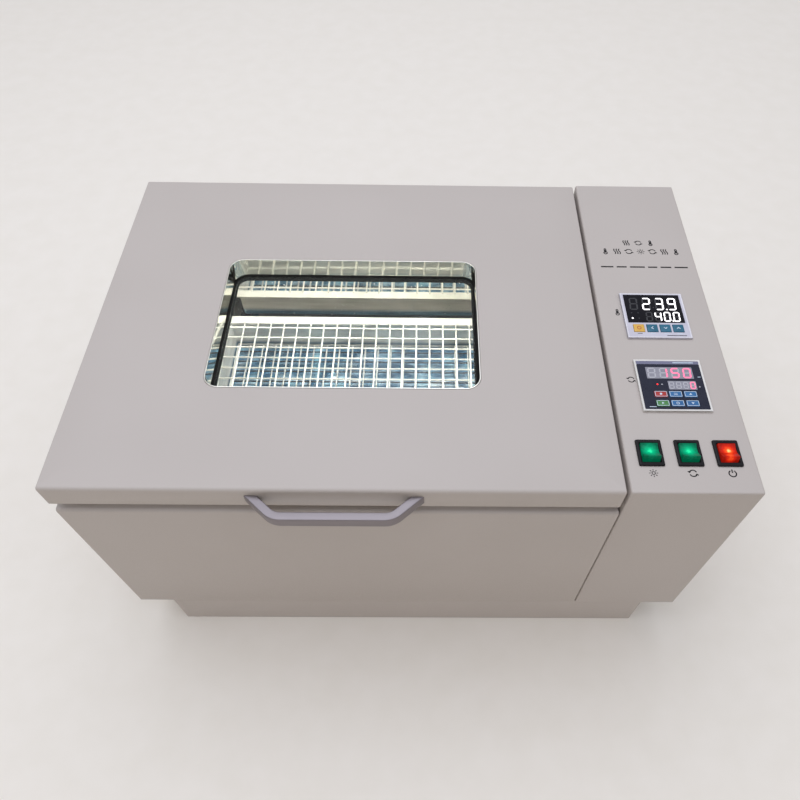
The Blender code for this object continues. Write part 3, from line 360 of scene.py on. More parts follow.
SILVER_RIM = surface("bright_rim", (0.72, 0.70, 0.76), (0.82, 0.80, 0.84), (0.3, 0.42), 0.6, 14, 0.01)
WHITE = surface("white_plastic", (0.72, 0.69, 0.66), (0.82, 0.80, 0.77), (0.34, 0.48), 0.7, 15, 0.01)
NAVY = surface(
    "navy_panel", (0.012, 0.014, 0.03), (0.024, 0.026, 0.046), (0.25, 0.36), 0.6, 18, 0.005, **DULL
)
BAND = surface("slate_band", (0.15, 0.15, 0.24), (0.2, 0.2, 0.3), (0.3, 0.42), 0.6, 14, 0.005)
DARK_GLASS = surface(
    "smoked_window", (0.002, 0.002, 0.004), (0.006, 0.005, 0.010), (0.06, 0.12), 0.7, 20, 0.002,
    Specular_IOR_Level=0.12,
)
GREY_GLASS = surface("grey_window", (0.25, 0.25, 0.30), (0.33, 0.32, 0.37), (0.12, 0.2), 0.7, 12, 0.003)
INK = surface(
    "dark_print", (0.012, 0.011, 0.012), (0.028, 0.025, 0.026), (0.4, 0.55), 0.4, 6, 0.004, **DULL
)
PALE_PRINT = surface("pale_print", (0.55, 0.66, 0.78), (0.7, 0.8, 0.9), (0.3, 0.45), 0.4, 4, 0.004)
GHOST = surface(
    "unlit_segment", (0.035, 0.035, 0.04), (0.065, 0.065, 0.07), (0.12, 0.2), 0.5, 5, 0.002, **DULL
)
GREY_GHOST = surface(
    "unlit_grey_segment", (0.42, 0.42, 0.47), (0.52, 0.52, 0.56), (0.12, 0.2), 0.5, 5, 0.002
)
FILM = wrinkled_film()
GLASS = clear_glass()
KEY_YELLOW, KEY_TEAL, KEY_RED, KEY_GREEN, KEY_BLUE = [
    surface(f"key_{color}", dark, light, (0.3, 0.44), 0.5, 7, 0.012) for color, dark, light in (
        ("yellow", (0.66, 0.36, 0.05), (0.80, 0.50, 0.10)),
        ("teal", (0.012, 0.10, 0.17), (0.025, 0.17, 0.27)),
        ("red", (0.36, 0.02, 0.02), (0.52, 0.04, 0.03)),
        ("green", (0.05, 0.19, 0.05), (0.09, 0.28, 0.08)),
        ("blue", (0.012, 0.09, 0.26), (0.03, 0.18, 0.42)),
    )
]
LIT_WHITE = glowing("lit_segment_white", (1.0, 0.98, 0.98), 1.5)
LIT_PINK = glowing("lit_segment_pink", (1.0, 0.15, 0.28), 1.1)
LIT_RED = glowing("lit_led_red", (1.0, 0.03, 0.03), 1.6)
LAMP = glowing("lamp_tube", (1.0, 0.96, 0.86), 34.0)
LAMP_BASE = surface("lamp_base", (0.7, 0.69, 0.66), (0.8, 0.79, 0.76), (0.4, 0.55), 0.8, 20, 0.01)


# Mesh building: each function adds a closed solid to a bmesh, with a material index

def merge(target, source, index, matrix=None):
    if matrix is not None:
        bmesh.ops.transform(source, matrix=matrix, verts=source.verts)
    bmesh.ops.recalc_face_normals(source, faces=source.faces)
    for face in source.faces:
        face.material_index = index
    mesh = bpy.data.meshes.new("scratch")
    source.to_mesh(mesh)
    source.free()
    target.from_mesh(mesh)
    bpy.data.meshes.remove(mesh)


def add_box(bm, low, high, radius=0.0, index=0, steps=3, matrix=None):
    part = bmesh.new()
    low, high = Vector(low), Vector(high)
    bmesh.ops.create_cube(part, size=1.0)
    bmesh.ops.scale(part, vec=high - low, verts=part.verts)
    bmesh.ops.translate(part, vec=(low + high) / 2, verts=part.verts)
    if radius > 0:
        bmesh.ops.bevel(
            part, geom=list(part.edges), offset=radius, segments=steps, profile=0.5, affect="EDGES"
        )
    merge(bm, part, index, matrix)


def add_loops(bm, loops, index=0, ring=False):
    """A solid through equal loops of points: capped at both ends, or closed into a ring."""
    part = bmesh.new()
    rows = [[part.verts.new(p) for p in loop] for loop in loops]
    pairs = list(zip(rows, rows[1:])) + ([(rows[-1], rows[0])] if ring else [])
    for lower, upper in pairs:
        for i in range(len(lower)):
            j = (i + 1) % len(lower)
            part.faces.new((lower[i], lower[j], upper[j], upper[i]))
    if not ring:
        part.faces.new(list(reversed(rows[0])))
        part.faces.new(rows[-1])
    merge(bm, part, index)


def add_prism(bm, outline, low, high, index=0):
    """An outline in the XY plane raised from low to high."""
    add_loops(bm, [level(outline, low), level(outline, high)], index)


def add_lathe(bm, profile, centre, axis=(0, 0, 1), sides=32, index=0):
    """A turned solid: profile is (radius, height) from one end on the axis to the other."""
    part = bmesh.new()
    rows = []
    for radius, height in profile:
        ring = disc(0, 0, radius, sides) if radius else [(0, 0)]
        rows.append([part.verts.new(point) for point in level(ring, height)])
    for lower, upper in zip(rows, rows[1:]):
        for i in range(sides):
            j = (i + 1) % sides
            corners = [row[k % len(row)] for row, k in ((lower, i), (lower, j), (upper, j), (upper, i))]
            corners = list(dict.fromkeys(corners))
            if len(corners) > 2:
                part.faces.new(corners)
    merge(bm, part, index, placed(centre, axis))


def placed(centre, axis):
    """The matrix that stands a turned solid on a centre, along an axis."""
    turn = Vector((0, 0, 1)).rotation_difference(Vector(axis)).to_matrix().to_4x4()
    return Matrix.Translation(Vector(centre)) @ turn


def add_rod(bm, start, end, radius, sides=10, index=0):
    """A straight wire with slightly rounded ends."""
    start, end = Vector(start), Vector(end)
    length = (end - start).length
    r = 0.25 * radius
    profile = [(0, 0), (radius - r, 0), (radius, r)]
    profile += [(radius, length - r), (radius - r, length), (0, length)]
    add_lathe(bm, profile, start, end - start, sides, index)


def add_ribbon(bm, points, width, low, high, index=0, closed=False):
    """A flat printed line that follows points in the XY plane."""
    count = len(points)
    loops = []
    for i, point in enumerate(points):
        before = points[(i - 1) % count] if closed or i > 0 else None
        after = points[(i + 1) % count] if closed or i < count - 1 else None
        here = Vector(point)
        into = (here - Vector(before)).normalized() if before else (Vector(after) - here).normalized()
        out = (Vector(after) - here).normalized() if after else into
        side = (Vector((-into.y, into.x)) + Vector((-out.y, out.x))).normalized()
        reach = width / 2 / max(0.4, side.dot(Vector((-into.y, into.x))))
        a, b = here + side * reach, here - side * reach
        loops.append([(*a, low), (*b, low), (*b, high), (*a, high)])
    add_loops(bm, loops, index, ring=closed)


def add_bar(bm, x0, x1, y, width, low, high, index=0):
    add_ribbon(bm, [(x0, y), (x1, y)], width, low, high, index)


def shifted(outline, x, y):
    return [(x + a, y + b) for a, b in outline]


def arc(centre, radius, start, end, steps):
    points = []
    for i in range(steps + 1):
        angle = math.radians(start + (end - start) * i / steps)
        points.append((centre[0] + radius * math.cos(angle), centre[1] + radius * math.sin(angle)))
    return points


def disc(x, y, radius, steps=20):
    return arc((x, y), radius, 0, 360 - 360 / steps, steps - 1)


def rounded_rect(x0, y0, x1, y1, radius, steps=6):
    r = max(radius, 0.02)
    x0, y0, x1, y1 = x0 + r, y0 + r, x1 - r, y1 - r
    points = []
    for x, y, start in ((x0, y0, 180), (x1, y0, 270), (x1, y1, 0), (x0, y1, 90)):
        points += arc((x, y), r, start, start + 90, steps)
    return points


def around(x, y, half_x, half_y):
    return (x - half_x, y - half_y, x + half_x, y + half_y)


def level(outline, z):
    return [(x, y, z) for x, y in outline]


def window_loop(inset, z):
    x0, y0, x1, y1 = WINDOW
    corners = (x0 + inset, y0 + inset, x1 - inset, y1 - inset)
    return level(rounded_rect(*corners, WINDOW_RADIUS - inset, 10), z)


def rect_loops(outer, rows, steps=10):
    """Rounded outlines of a rectangle from (inset, height, radius); an inset may be a pair, for x and y."""
    x0, y0, x1, y1 = outer
    loops = []
    for inset, z, radius in rows:
        a, b = inset if isinstance(inset, tuple) else (inset, inset)
        loops.append(level(rounded_rect(x0 + a, y0 + b, x1 - a, y1 - b, radius, steps), z))
    return loops


def linked(name, data):
    obj = bpy.data.objects.new(name, data)
    bpy.context.scene.collection.objects.link(obj)
    return obj


def solid(name, bm):
    """Turns a bmesh in millimetres into an object in metres."""
    for vert in bm.verts:
        vert.co /= METRE
    mesh = bpy.data.meshes.new(name)
    bm.to_mesh(mesh)
    bm.free()
    return linked(name, mesh)


def smooth(mesh, angle):
    mesh.shade_smooth()
    mesh.set_sharp_from_angle(angle=math.radians(angle))


def piece(name, bm, mats, body, replaces=(), angle=35):
    """Turns a bmesh into a named piece that rides on a body."""
    obj = solid(name, bm)
    for mat in mats if isinstance(mats, list) else [mats]:
        obj.data.materials.append(mat)
    smooth(obj.data, angle)
    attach(obj, body)
    if replaces:
        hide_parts(*replaces)
    return obj


def loop_piece(name, loops, mat, body, replaces=(), angle=35, ring=True):
    bm = bmesh.new()
    add_loops(bm, loops, ring=ring)
    return piece(name, bm, mat, body, replaces, angle)


def settled_mesh(obj):
    """The mesh that an object's modifiers or outlines make."""
    bpy.context.view_layer.update()
    graph = bpy.context.evaluated_depsgraph_get()
    return bpy.data.meshes.new_from_object(obj.evaluated_get(graph), depsgraph=graph)


def settle(obj):
    """Replaces a piece's mesh by what its modifiers make of it."""
    made = settled_mesh(obj)
    old = obj.data
    obj.modifiers.clear()
    obj.data = made
    bpy.data.meshes.remove(old)
    made.name = obj.name
    smooth(made, 30)


def cut(obj, boxes):
    """Cuts boxes out of a piece and keeps the result as its mesh."""
    bm = bmesh.new()
    for low, high in boxes:
        add_box(bm, low, high)
    cutter = solid("cutter", bm)
    step = obj.modifiers.new("cut", "BOOLEAN")
    step.operation = "DIFFERENCE"
    step.solver = "EXACT"
    step.object = cutter
    settle(obj)
    bpy.data.meshes.remove(cutter.data)


def holed_plate(outlines, low, high):
    """A thin plate from closed outlines, the first its edge and the rest its holes."""
    curve = bpy.data.curves.new("plate", "CURVE")
    curve.dimensions = "2D"
    curve.fill_mode = "BOTH"
    curve.extrude = (high - low) / 2
    for outline in outlines:
        spline = curve.splines.new("POLY")
        spline.points.add(len(outline) - 1)
        spline.use_cyclic_u = True
        for point, (x, y) in zip(spline.points, outline):
            point.co = (x, y, 0, 1)
    mesh = settled_mesh(linked("plate", curve))
    bm = bmesh.new()
    bm.from_mesh(mesh)
    bmesh.ops.remove_doubles(bm, verts=bm.verts, dist=0.001)
    bmesh.ops.translate(bm, vec=(0, 0, (low + high) / 2), verts=bm.verts)
    bmesh.ops.recalc_face_normals(bm, faces=bm.faces)
    bpy.data.curves.remove(curve)
    bpy.data.meshes.remove(mesh)
    return bm


# Cabinet, plinth and column

def fold(outer, top):
    """Outlines of a sheet's rounded top edge, which turns in less at the sides than at the front."""
    loops = []
    for i in range(9):
        angle = math.radians(90 * i / 8)
        turn = 1 - math.cos(angle)
        height = top - FOLD + FOLD * math.sin(angle)
        row = ((FOLD_SIDE * turn, FOLD * turn), height, CORNER - FOLD_SIDE * turn)
        loops += rect_loops(outer, [row])
    return loops


def build_lid_shell():
    """Folded sheet pan: skirt, rounded top edge, flat top with the window opening."""
    outer = (LEFT, FRONT, LID_RIGHT, BACK)
    loops = rect_loops(outer, [(0.15, LID_BOTTOM, CORNER - 0.15), (0, LID_BOTTOM + 0.3, CORNER)])
    loops += fold(outer, TOP)
    loops += rect_loops(outer, [(40, TOP, 6)])
    loops += [window_loop(-0.4, TOP), window_loop(0, TOP - 0.4), window_loop(0, TOP - SHEET)]
    loops += rect_loops(outer, [
        (FOLD, TOP - SHEET, 2), ((FOLD_SIDE, 2.4), TOP - 2.2, 0.6), (SHEET, TOP - FOLD, 0.8),
        (SHEET, LID_BOTTOM, 0.8),
    ])
    loop_piece("lid_pan", loops, PAINT, "lid", ["lid_shell"], angle=30)


def build_cabinet_shell():
    outer = (LEFT, FRONT, SEAM, BACK)
    loops = rect_loops(outer, [
        (14, PLINTH_TOP, 3), (0.8, PLINTH_TOP, CORNER - 0.8), (0.2, PLINTH_TOP + 0.25, CORNER - 0.2),
        (0, PLINTH_TOP + 0.8, CORNER),
    ])
    loops += fold(outer, SHOULDER)
    loops += rect_loops(outer, [
        (NECK - 0.6, SHOULDER, 3), (NECK, SHOULDER + 0.6, 3), (NECK, NECK_TOP - 0.4, 3),
        (NECK + 0.4, NECK_TOP, 3), (NECK + SHEET, NECK_TOP, 2), (NECK + SHEET, SHOULDER - SHEET, 2),
        (4, SHOULDER - SHEET, 2.5), (SHEET, SHOULDER - 4, 3), (SHEET, PLINTH_TOP + SHEET, 3),
        (14, PLINTH_TOP + SHEET, 3),
    ])
    shell = loop_piece("cabinet_case", loops, PAINT, "cabinet", ["cabinet_shell"], 30)
    cut(shell, [((SEAM - 8, -7, 208), (SEAM + 4, 7, 222))])


def build_plinth():
    top = PLINTH_TOP - GAP
    rows = [(0.3, 0, 3), (0, 0.4, 3.3), (0, top, 3.3), (SHEET, top, 2), (SHEET, 0, 2)]
    loops = rect_loops((-307.5, -236, 307.5, 236), rows)
    loop_piece("plinth_skirt", loops, PAINT, "cabinet", ["plinth"], angle=30)


def build_column():
    """Folded cover, open below and behind, with cut-outs for the instruments and switches."""
    bm = bmesh.new()
    add_box(bm, (COLUMN_LEFT, FRONT, PLINTH_TOP), (RIGHT, BACK, TOP))
    bm.normal_update()
    folds = []
    for edge in bm.edges:
        if not any(face.normal.z < -0.9 or face.normal.y > 0.9 for face in edge.link_faces):
            folds.append(edge)
    bmesh.ops.bevel(bm, geom=folds, offset=2.2, segments=6, profile=0.5, affect="EDGES")
    bm.normal_update()
    ends = [face for face in bm.faces if face.normal.z < -0.99 or face.normal.y > 0.99]
    bmesh.ops.delete(bm, geom=ends, context="FACES_ONLY")
    column = piece("column_cover", bm, PAINT, "cabinet", ["control_column"], angle=30)
    wall = column.modifiers.new("wall", "SOLIDIFY")
    wall.thickness = SHEET * MM
    wall.offset = -1
    wall.use_even_offset = True
    settle(column)
    cutouts = [(PANEL_X, y + CASE_SHIFT, 33.8, 32.8) for y in (TEMP_Y, SPEED_Y)]
    cutouts += [(x, ROCKER_Y, 11, 14) for x in ROCKERS.values()]
    holes = []
    for x, y, half_x, half_y in cutouts:
        holes.append(((x - half_x, y - half_y, TOP - 5), (x + half_x, y + half_y, TOP + 5)))
    holes.append(((COLUMN_LEFT - 4, -7, 208), (COLUMN_LEFT + 5, 7, 222)))
    cut(column, holes)


# Window and handle

def build_window():
    low, edge = PAN_TOP + GAP, TOP + 0.25
    lining = [
        (0.3, low), (0.3, edge - 0.3), (0.5, edge - 0.08), (0.9, edge), (1.3, edge - 0.08),
        (1.5, edge - 0.3), (1.5, low),
    ]
    seal = [
        (0.3, 313.0), (0.3, 318.9), (0.7, 319.4), (1.4, 319.4), (1.6, 319.1), (1.9, 319.1), (2.1, 319.4),
        (2.7, 319.4), (3.1, 319.0), (3.1, 314.2), (4.2, 314.2), (4.5, 313.9), (4.5, 313.0),
    ]
    pane = [(3.8, 314.5), (3.4, 314.9), (3.4, 318.1), (3.8, 318.5)]
    for name, rows, mat, slot, node in (
        ("window_lining", lining, MIRROR, "stainless_steel", "window_reveal"),
        ("window_seal", seal, RUBBER, "black_rubber", "window_gasket"),
        ("window_pane", pane, GLASS, "window_glass", "window_glass"),
    ):
        loops = [window_loop(inset, z) for inset, z in rows]
        loop_piece(name, loops, mat, "lid", [node], ring=name != "window_pane")


def bow_half(offset, mirror):
    """Half of the handle's outline, offset inwards from its outer face."""
    reach, run, half, bend = 26.5, 28, 86.5, 24
    slope = math.atan2(reach, run)
    set_back = bend * math.tan(slope / 2)
    centre = (-half + run + set_back, -reach + bend)
    start = (-half + offset / math.sin(slope), -GAP)
    points = [start] + arc(centre, bend - offset, 270 - math.degrees(slope), 270, 12)
    return [(-x, y) for x, y in reversed(points)] if mirror else points


def build_handle():
    """A bow of flat bar with softened edges."""
    bar, height, low = 9, 12.5, 320.5
    centre_x = -66
    section = rounded_rect(0, 0, bar, height, 1.1, 4)
    lines = {across: bow_half(across, False) + bow_half(across, True) for across, _ in section}
    loops = []
    for i in range(len(lines[section[0][0]])):
        loops.append([(centre_x + lines[a][i][0], FRONT + lines[a][i][1], low + up) for a, up in section])
    loop_piece("bow_handle", loops, ANODISED, "lid", ["lid_handle"], ring=False)


# Tray with its wire grids and film

def build_tray():
    low = TRAY_FLOOR + TRAY_SHEET
    rows = [
        (3, low, 2), (0.8, low + 0.4, 3), (0, low + 2.5, 3.5), (0, TRAY_TOP - 0.3, 3.5),
        (-0.3, TRAY_TOP, 3.8), (-0.9, TRAY_TOP, 4.4), (-TRAY_SHEET, TRAY_TOP - 0.3, 4.7),
        (-TRAY_SHEET, TRAY_FLOOR + 2, 4.7), (0.5, TRAY_FLOOR, 3),
    ]
    loops = rect_loops(around(TRAY_X, TRAY_Y, *TRAY_HALF), rows)
    loop_piece("tray_pan", loops, TRAY_STEEL, "platform", ["flask_tray"], ring=False)


def build_film():
    """Two grids of points, the upper one wrinkled, joined along their edges."""
    half_x, half_y = TRAY_HALF[0] - 4.5, TRAY_HALF[1] - 4.5
    columns, rows = 110, 92
    bm = bmesh.new()
    grid = {}
    for side in (0, 1):
        for i in range(columns + 1):
            for j in range(rows + 1):
                x = TRAY_X + half_x * (2 * i / columns - 1)
                y = TRAY_Y + half_y * (2 * j / rows - 1)
                soft = noise.noise(Vector((x * 0.03, y * 0.055, 0.3)))
                crease = 1 - abs(noise.noise(Vector((x * 0.06 + y * 0.024, y * 0.036, 4.0)))) * 2
                lift = max(0.25, 0.9 + 0.7 * soft + 0.9 * max(0.0, crease) ** 4)
                z = TRAY_FLOOR + TRAY_SHEET + (lift if side else 0.08)
                grid[side, i, j] = bm.verts.new((x, y, z))

    def face(*corners):
        bm.faces.new([grid[corner] for corner in corners])

    for i in range(columns):
        for j in range(rows):
            face((1, i, j), (1, i + 1, j), (1, i + 1, j + 1), (1, i, j + 1))
            face((0, i, j + 1), (0, i + 1, j + 1), (0, i + 1, j), (0, i, j))
        face((0, i, 0), (0, i + 1, 0), (1, i + 1, 0), (1, i, 0))
        face((0, i + 1, rows), (0, i, rows), (1, i, rows), (1, i + 1, rows))
    for j in range(rows):
        face((0, 0, j + 1), (0, 0, j), (1, 0, j), (1, 0, j + 1))
        face((0, columns, j), (0, columns, j + 1), (1, columns, j + 1), (1, columns, j))
    piece("tray_film", bm, FILM, "platform", angle=60)


def build_grid(name, node, z, half_x, half_y, bar, mats, stagger=False):
    """A flat frame carrying cross wires, with the front-to-back wires welded on top of them."""
    top, soft = z + WIRE, 0.3
    rows = [
        (soft, z, 1), (0, z + soft, 1.2), (0, top - soft, 1.2), (soft, top, 1), (bar - soft, top, 0.6),
        (bar, top - soft, 0.6), (bar, z + soft, 0.6), (bar - soft, z, 0.6),
    ]
    bm = bmesh.new()
    add_loops(bm, rect_loops(around(TRAY_X, TRAY_Y, half_x, half_y), rows, 4), ring=True)
    inner_x, inner_y = half_x - bar + 1.5, half_y - bar + 1.5
    radius = WIRE / 2
    low, high = z + radius, z + radius + 1.9
    count = ROWS - 1 if stagger else ROWS
    for j in range(count):
        y = TRAY_Y + PITCH * (j - (count - 1) / 2)
        wave = 0.25 * noise.noise(Vector((j * 3.1, z * 0.1, 0.5)))
        ends = (TRAY_X - inner_x, y + wave, low), (TRAY_X + inner_x, y - wave, low)
        # The cross wires take the last material; on the lower grid that is the near-black painted deep
        # shade.
        add_rod(bm, *ends, radius, index=len(mats) - 1)
    for i in range(COLUMNS):
        x = TRAY_X + PITCH * (i - (COLUMNS - 1) / 2)
        wave = 0.25 * noise.noise(Vector((i * 2.7, z * 0.09, 7.5)))
        reach = inner_y + 2.5 if bar > 5 else inner_y - 1.8
        add_rod(bm, (x + wave, TRAY_Y - reach, high), (x - wave, TRAY_Y + reach, high), radius)
    piece(name, bm, mats, "platform", [node])


# Instruments

SEGMENTS = {
    "0": "abcdef", "1": "bc", "2": "abged", "3": "abgcd", "4": "fgbc", "5": "afgcd", "9": "abcdfg"
}
CHEVRONS = {
    "shift": [(1.08, 1.8), (-1.08, 0), (1.08, -1.8)],
    "down": [(-1.8, 1.08), (0, -1.08), (1.8, 1.08)],
    "up": [(-1.8, -1.08), (0, 1.08), (1.8, -1.08)],
}
GLYPHS = {
    "raise": [(-1.7, -1), (1.7, -1), (0, 1.3)],
    "lower": [(0, -1.3), (1.7, 1), (-1.7, 1)],
    "stop": rounded_rect(-1.2, -1.2, 1.2, 1.2, 0.2, 2),
    "run": [(-1.1, -1.4), (1.5, 0), (-1.1, 1.4)],
}


def segment_outlines(width, height, thick, slant=0.06):
    """Seven six-sided bars round the origin, by letter."""
    w, h, t = width / 2 - thick / 2, height / 2 - thick / 2, thick / 2
    gap = 0.12 * thick

    def bar(x0, y0, x1, y1):
        along = Vector((x1 - x0, y1 - y0)).normalized()
        side = Vector((-along.y, along.x)) * t
        a, b = Vector((x0, y0)) + along * gap, Vector((x1, y1)) - along * gap
        run = along * t
        points = [a, a + run + side, b - run + side, b, b - run - side, a + run - side]
        return [(p.x + slant * p.y, p.y) for p in points]

    return {
        "a": bar(-w, h, w, h), "g": bar(-w, 0, w, 0), "d": bar(-w, -h, w, -h),
        "b": bar(w, 0, w, h), "c": bar(w, -h, w, 0), "f": bar(-w, 0, -w, h), "e": bar(-w, -h, -w, 0),
    }


def add_digits(lit, unlit, digits, x, y, size, low, high):
    """Digits given as (figure, place along X), with the segments that are off a little lower."""
    for char, dx in digits:
        for letter, outline in segment_outlines(*size).items():
            outline = shifted(outline, x + dx, y)
            if letter in SEGMENTS.get(char, ""):
                add_prism(lit, outline, low, high)
            else:
                add_prism(unlit, outline, low, high - 0.04)


def build_rim(name, y, mat, rise, flat, inner, outside, inside):
    """The raised rim round an instrument's face, with its corner radii outside and inside."""
    rows = [
        (0, FACE - 0.9, outside), (0, FACE + rise - 0.4, outside), (0.4, FACE + rise, inside),
        (flat, FACE + rise, inside), (inner, FACE + 0.05, inside), (inner, FACE - 0.9, inside),
    ]
    loops = rect_loops(around(PANEL_X, y + CASE_SHIFT, *CASE), rows, 4)
    loop_piece(name, loops, mat, "cabinet")


def build_temp_controller():
    x, y = PANEL_X, TEMP_Y
    build_rim("temp_rim", y, SILVER_RIM, 0.3, 1.3, 1.7, 0.8, 0.7)

    low, high = FACE + 0.03, FACE + 0.12
    lit, unlit = bmesh.new(), bmesh.new()
    upper = ((" ", -22.1), ("2", -7.4), ("3", 7.6), ("9", 22.0))
    lower = ((" ", -7.0), ("4", 3.2), ("0", 13.4), ("0", 24.0))
    add_digits(lit, unlit, upper, x, y + 19.1, (9.6, 19.4, 1.75), low, high)
    add_digits(lit, unlit, lower, x, y - 1.2, (7.8, 15.2, 1.6), low, high)
    for dx, dy, radius in ((15.1, 10.4, 1), (19.1, -7.6, 1), (-26.4, -3.7, 1.1)):
        add_prism(lit, disc(x + dx, y + dy, radius), low, high)
    for dx, dy in ((0, 24), (0, 13.5), (-26.4, 4.6), (-19, 4.6), (-19, -3.7)):
        add_prism(unlit, disc(x + dx, y + dy, 0.8), low, high - 0.03)
    piece("temp_digits_lit", lit, LIT_WHITE, "cabinet")
    piece("temp_digits_unlit", unlit, GHOST, "cabinet")

    marks = bmesh.new()
    low, high = FACE + 0.02, FACE + 0.07
    for key, dx in TEMP_KEYS.items():
        add_bar(marks, x + dx - 2.6, x + dx + 2.6, y - 27.4, 0.7, low, high, 1 if key == "set" else 0)
    add_bar(marks, x + 8, x + 30, y - 30.2, 0.9, low, high, 1)
    piece("temp_face_marks", marks, [PALE_PRINT, INK], "cabinet")


def key_cap(x, y, half_x, half_y, radius):
    bm = bmesh.new()
    add_box(bm, (x - half_x, y - half_y, KEY_TOP - 2.6), (x + half_x, y + half_y, KEY_TOP), radius)
    return bm


def build_temp_keys():
    for key, dx in TEMP_KEYS.items():
        x, y = PANEL_X + dx, TEMP_Y + TEMP_KEY_Y
        bm = key_cap(x, y, 6, 5.7, 0.7)
        if key == "set":
            add_ribbon(bm, disc(x, y, 2.1, 16), 0.7, *KEY_MARK, 1, closed=True)
            mats, slot = [KEY_YELLOW, KEY_RED], "key_yellow"
        else:
            add_ribbon(bm, shifted(CHEVRONS[key], x, y), 0.9, *KEY_MARK, 1)
            mats, slot = [KEY_TEAL, PALE_PRINT], "key_teal"
        piece(f"temp_button_{key}", bm, mats, f"temp_key_{key}_body", [f"temp_key_{key}"])


def build_speed_controller():
    x, y = PANEL_X, SPEED_Y
    build_rim("speed_rim", y, WHITE, 0.4, 1.4, 2.1, 1.0, 0.8)

    low, high = FACE + 0.03, FACE + 0.2
    outlines = [
        rounded_rect(x - 33.8, y - 31.4, x + 33.8, y + 29.6, 0.8, 3),
        rounded_rect(x - 25, y + 9.6, x + 25, y + 25.7, 0.6, 3),
        rounded_rect(x - 4.3, y - 5.3, x + 25.6, y + 6.6, 0.6, 3),
    ]
    for dx, dy in SPEED_KEYS.values():
        outlines.append(rounded_rect(*around(x + dx, y + dy, 7, 4.2), 0.8, 3))
    piece("speed_field", holed_plate(outlines, low, high), NAVY, "cabinet")

    bm = bmesh.new()
    add_prism(bm, rounded_rect(x - 33.8, y + 29.8, x + 33.8, y + 34.1, 0.6, 3), low, high)
    for x0, x1, dy, width in ((6, 28, 31.9, 1.1), (-29, -22, -28.4, 0.8), (29, 32, 12, 0.8)):
        add_bar(bm, x + x0, x + x1, y + dy, width, high, high + 0.05, 1)
    piece("speed_band", bm, [BAND, PALE_PRINT], "cabinet")

    low, high = FACE + 0.02, FACE + 0.1
    lit, unlit = bmesh.new(), bmesh.new()
    upper = ((" ", -19.1), ("1", -6.5), ("5", 6.1), ("0", 18.7))
    lower = ((" ", -0.8), (" ", 6.8), (" ", 14.3), ("0", 21.8))
    add_digits(lit, unlit, upper, x, y + 17.6, (8.7, 14.0, 1.6), low, high)
    add_digits(lit, unlit, lower, x, y + 0.6, (5.6, 9.6, 1.1), low, high)
    piece("speed_digits_lit", lit, LIT_PINK, "cabinet")
    piece("speed_digits_unlit", unlit, GREY_GHOST, "cabinet")

    dome = [(0, -0.2), (0.9, -0.2), (0.9, 0.25), (0.5, 0.5), (0, 0.6)]
    bm = bmesh.new()
    for dx, dy, index in ((-15.8, 1.5, 0), (-10.9, 1.5, 1), (28.4, -1.5, 1)):
        add_lathe(bm, dome, (x + dx, y + dy, FACE + 0.2), sides=16, index=index)
    piece("speed_leds", bm, [LIT_RED, GREY_GHOST], "cabinet")


def build_speed_keys():
    colors = {"stop": (KEY_RED, "key_red"), "run": (KEY_GREEN, "key_green")}
    half_x, half_y, margin = 6.7, 3.9, 0.7
    for key, (dx, dy) in SPEED_KEYS.items():
        x, y = PANEL_X + dx, SPEED_Y + dy
        bm = key_cap(x, y, half_x, half_y, 0.5)
        rim = rounded_rect(*around(x, y, half_x - margin, half_y - margin), 0.5, 3)
        add_ribbon(bm, rim, 0.55, *KEY_MARK, 1, closed=True)
        if key in GLYPHS:
            add_prism(bm, shifted(GLYPHS[key], x, y), *KEY_MARK, 1)
        elif key == "mode":
            for step in (-0.9, 0.9):
                add_bar(bm, x - 2, x + 2, y + step, 0.55, *KEY_MARK, 1)
        else:
            add_ribbon(bm, disc(x, y, 1.5, 16), 0.5, *KEY_MARK, 1, closed=True)
            add_ribbon(bm, [(x, y + 0.9), (x, y), (x + 0.7, y)], 0.4, *KEY_MARK, 1)
        mat, slot = colors.get(key, (KEY_BLUE, "key_blue"))
        node = f"speed_key_{key}"
        piece(f"speed_button_{key}", bm, [mat, PALE_PRINT], f"{node}_body", [node])


# Rocker switches

def rocker_side():
    """A rocker's side view as (y, z): raised ends, a hollow between them and a round underside."""
    half = [(10.2, -2), (10.2, 2), (9.9, 4.6), (9.4, 6.1), (8.8, 6.6)]
    valley = []
    for i in range(1, 12):
        across = 1 - 2 * i / 12
        valley.append((8.8 * across, 4.2 + 2.4 * abs(across) ** 1.7))
    mirrored = [(-y, z) for y, z in reversed(half)]
    return half + valley + mirrored + [(-7.5, -5.4), (-5, -7), (5, -7), (7.5, -5.4)]


def build_bezel(name, x):
    """A switch's frame: its body below the panel, its flange, and the hollow that the rocker fills."""
    top = TOP + 2.4
    loops = []
    for half_x, half_y, rows in (
        (10.7, 13.7, [(0, TOP - 24, 0.5), (0, TOP + GAP, 0.5)]),
        (12.8, 15.6, [
            (0.2, TOP + GAP, 1.4), (0, TOP + 0.5, 1.6), (0, TOP + 1, 1.6), (0.4, top - 0.5, 1.3),
            (1.1, top - 0.1, 0.9), (2, top, 0.8),
        ]),
        (9, 11.2, [(-0.8, top - 0.15, 0.9), (0, top - 1, 0.5), (0, TOP - 16, 0.5)]),
    ):
        loops += rect_loops(around(x, ROCKER_Y, half_x, half_y), rows, 5)
    node = f"rocker_frame_{name}"
    loop_piece(f"switch_bezel_{name}", loops, BLACK, "cabinet", [node], ring=False)


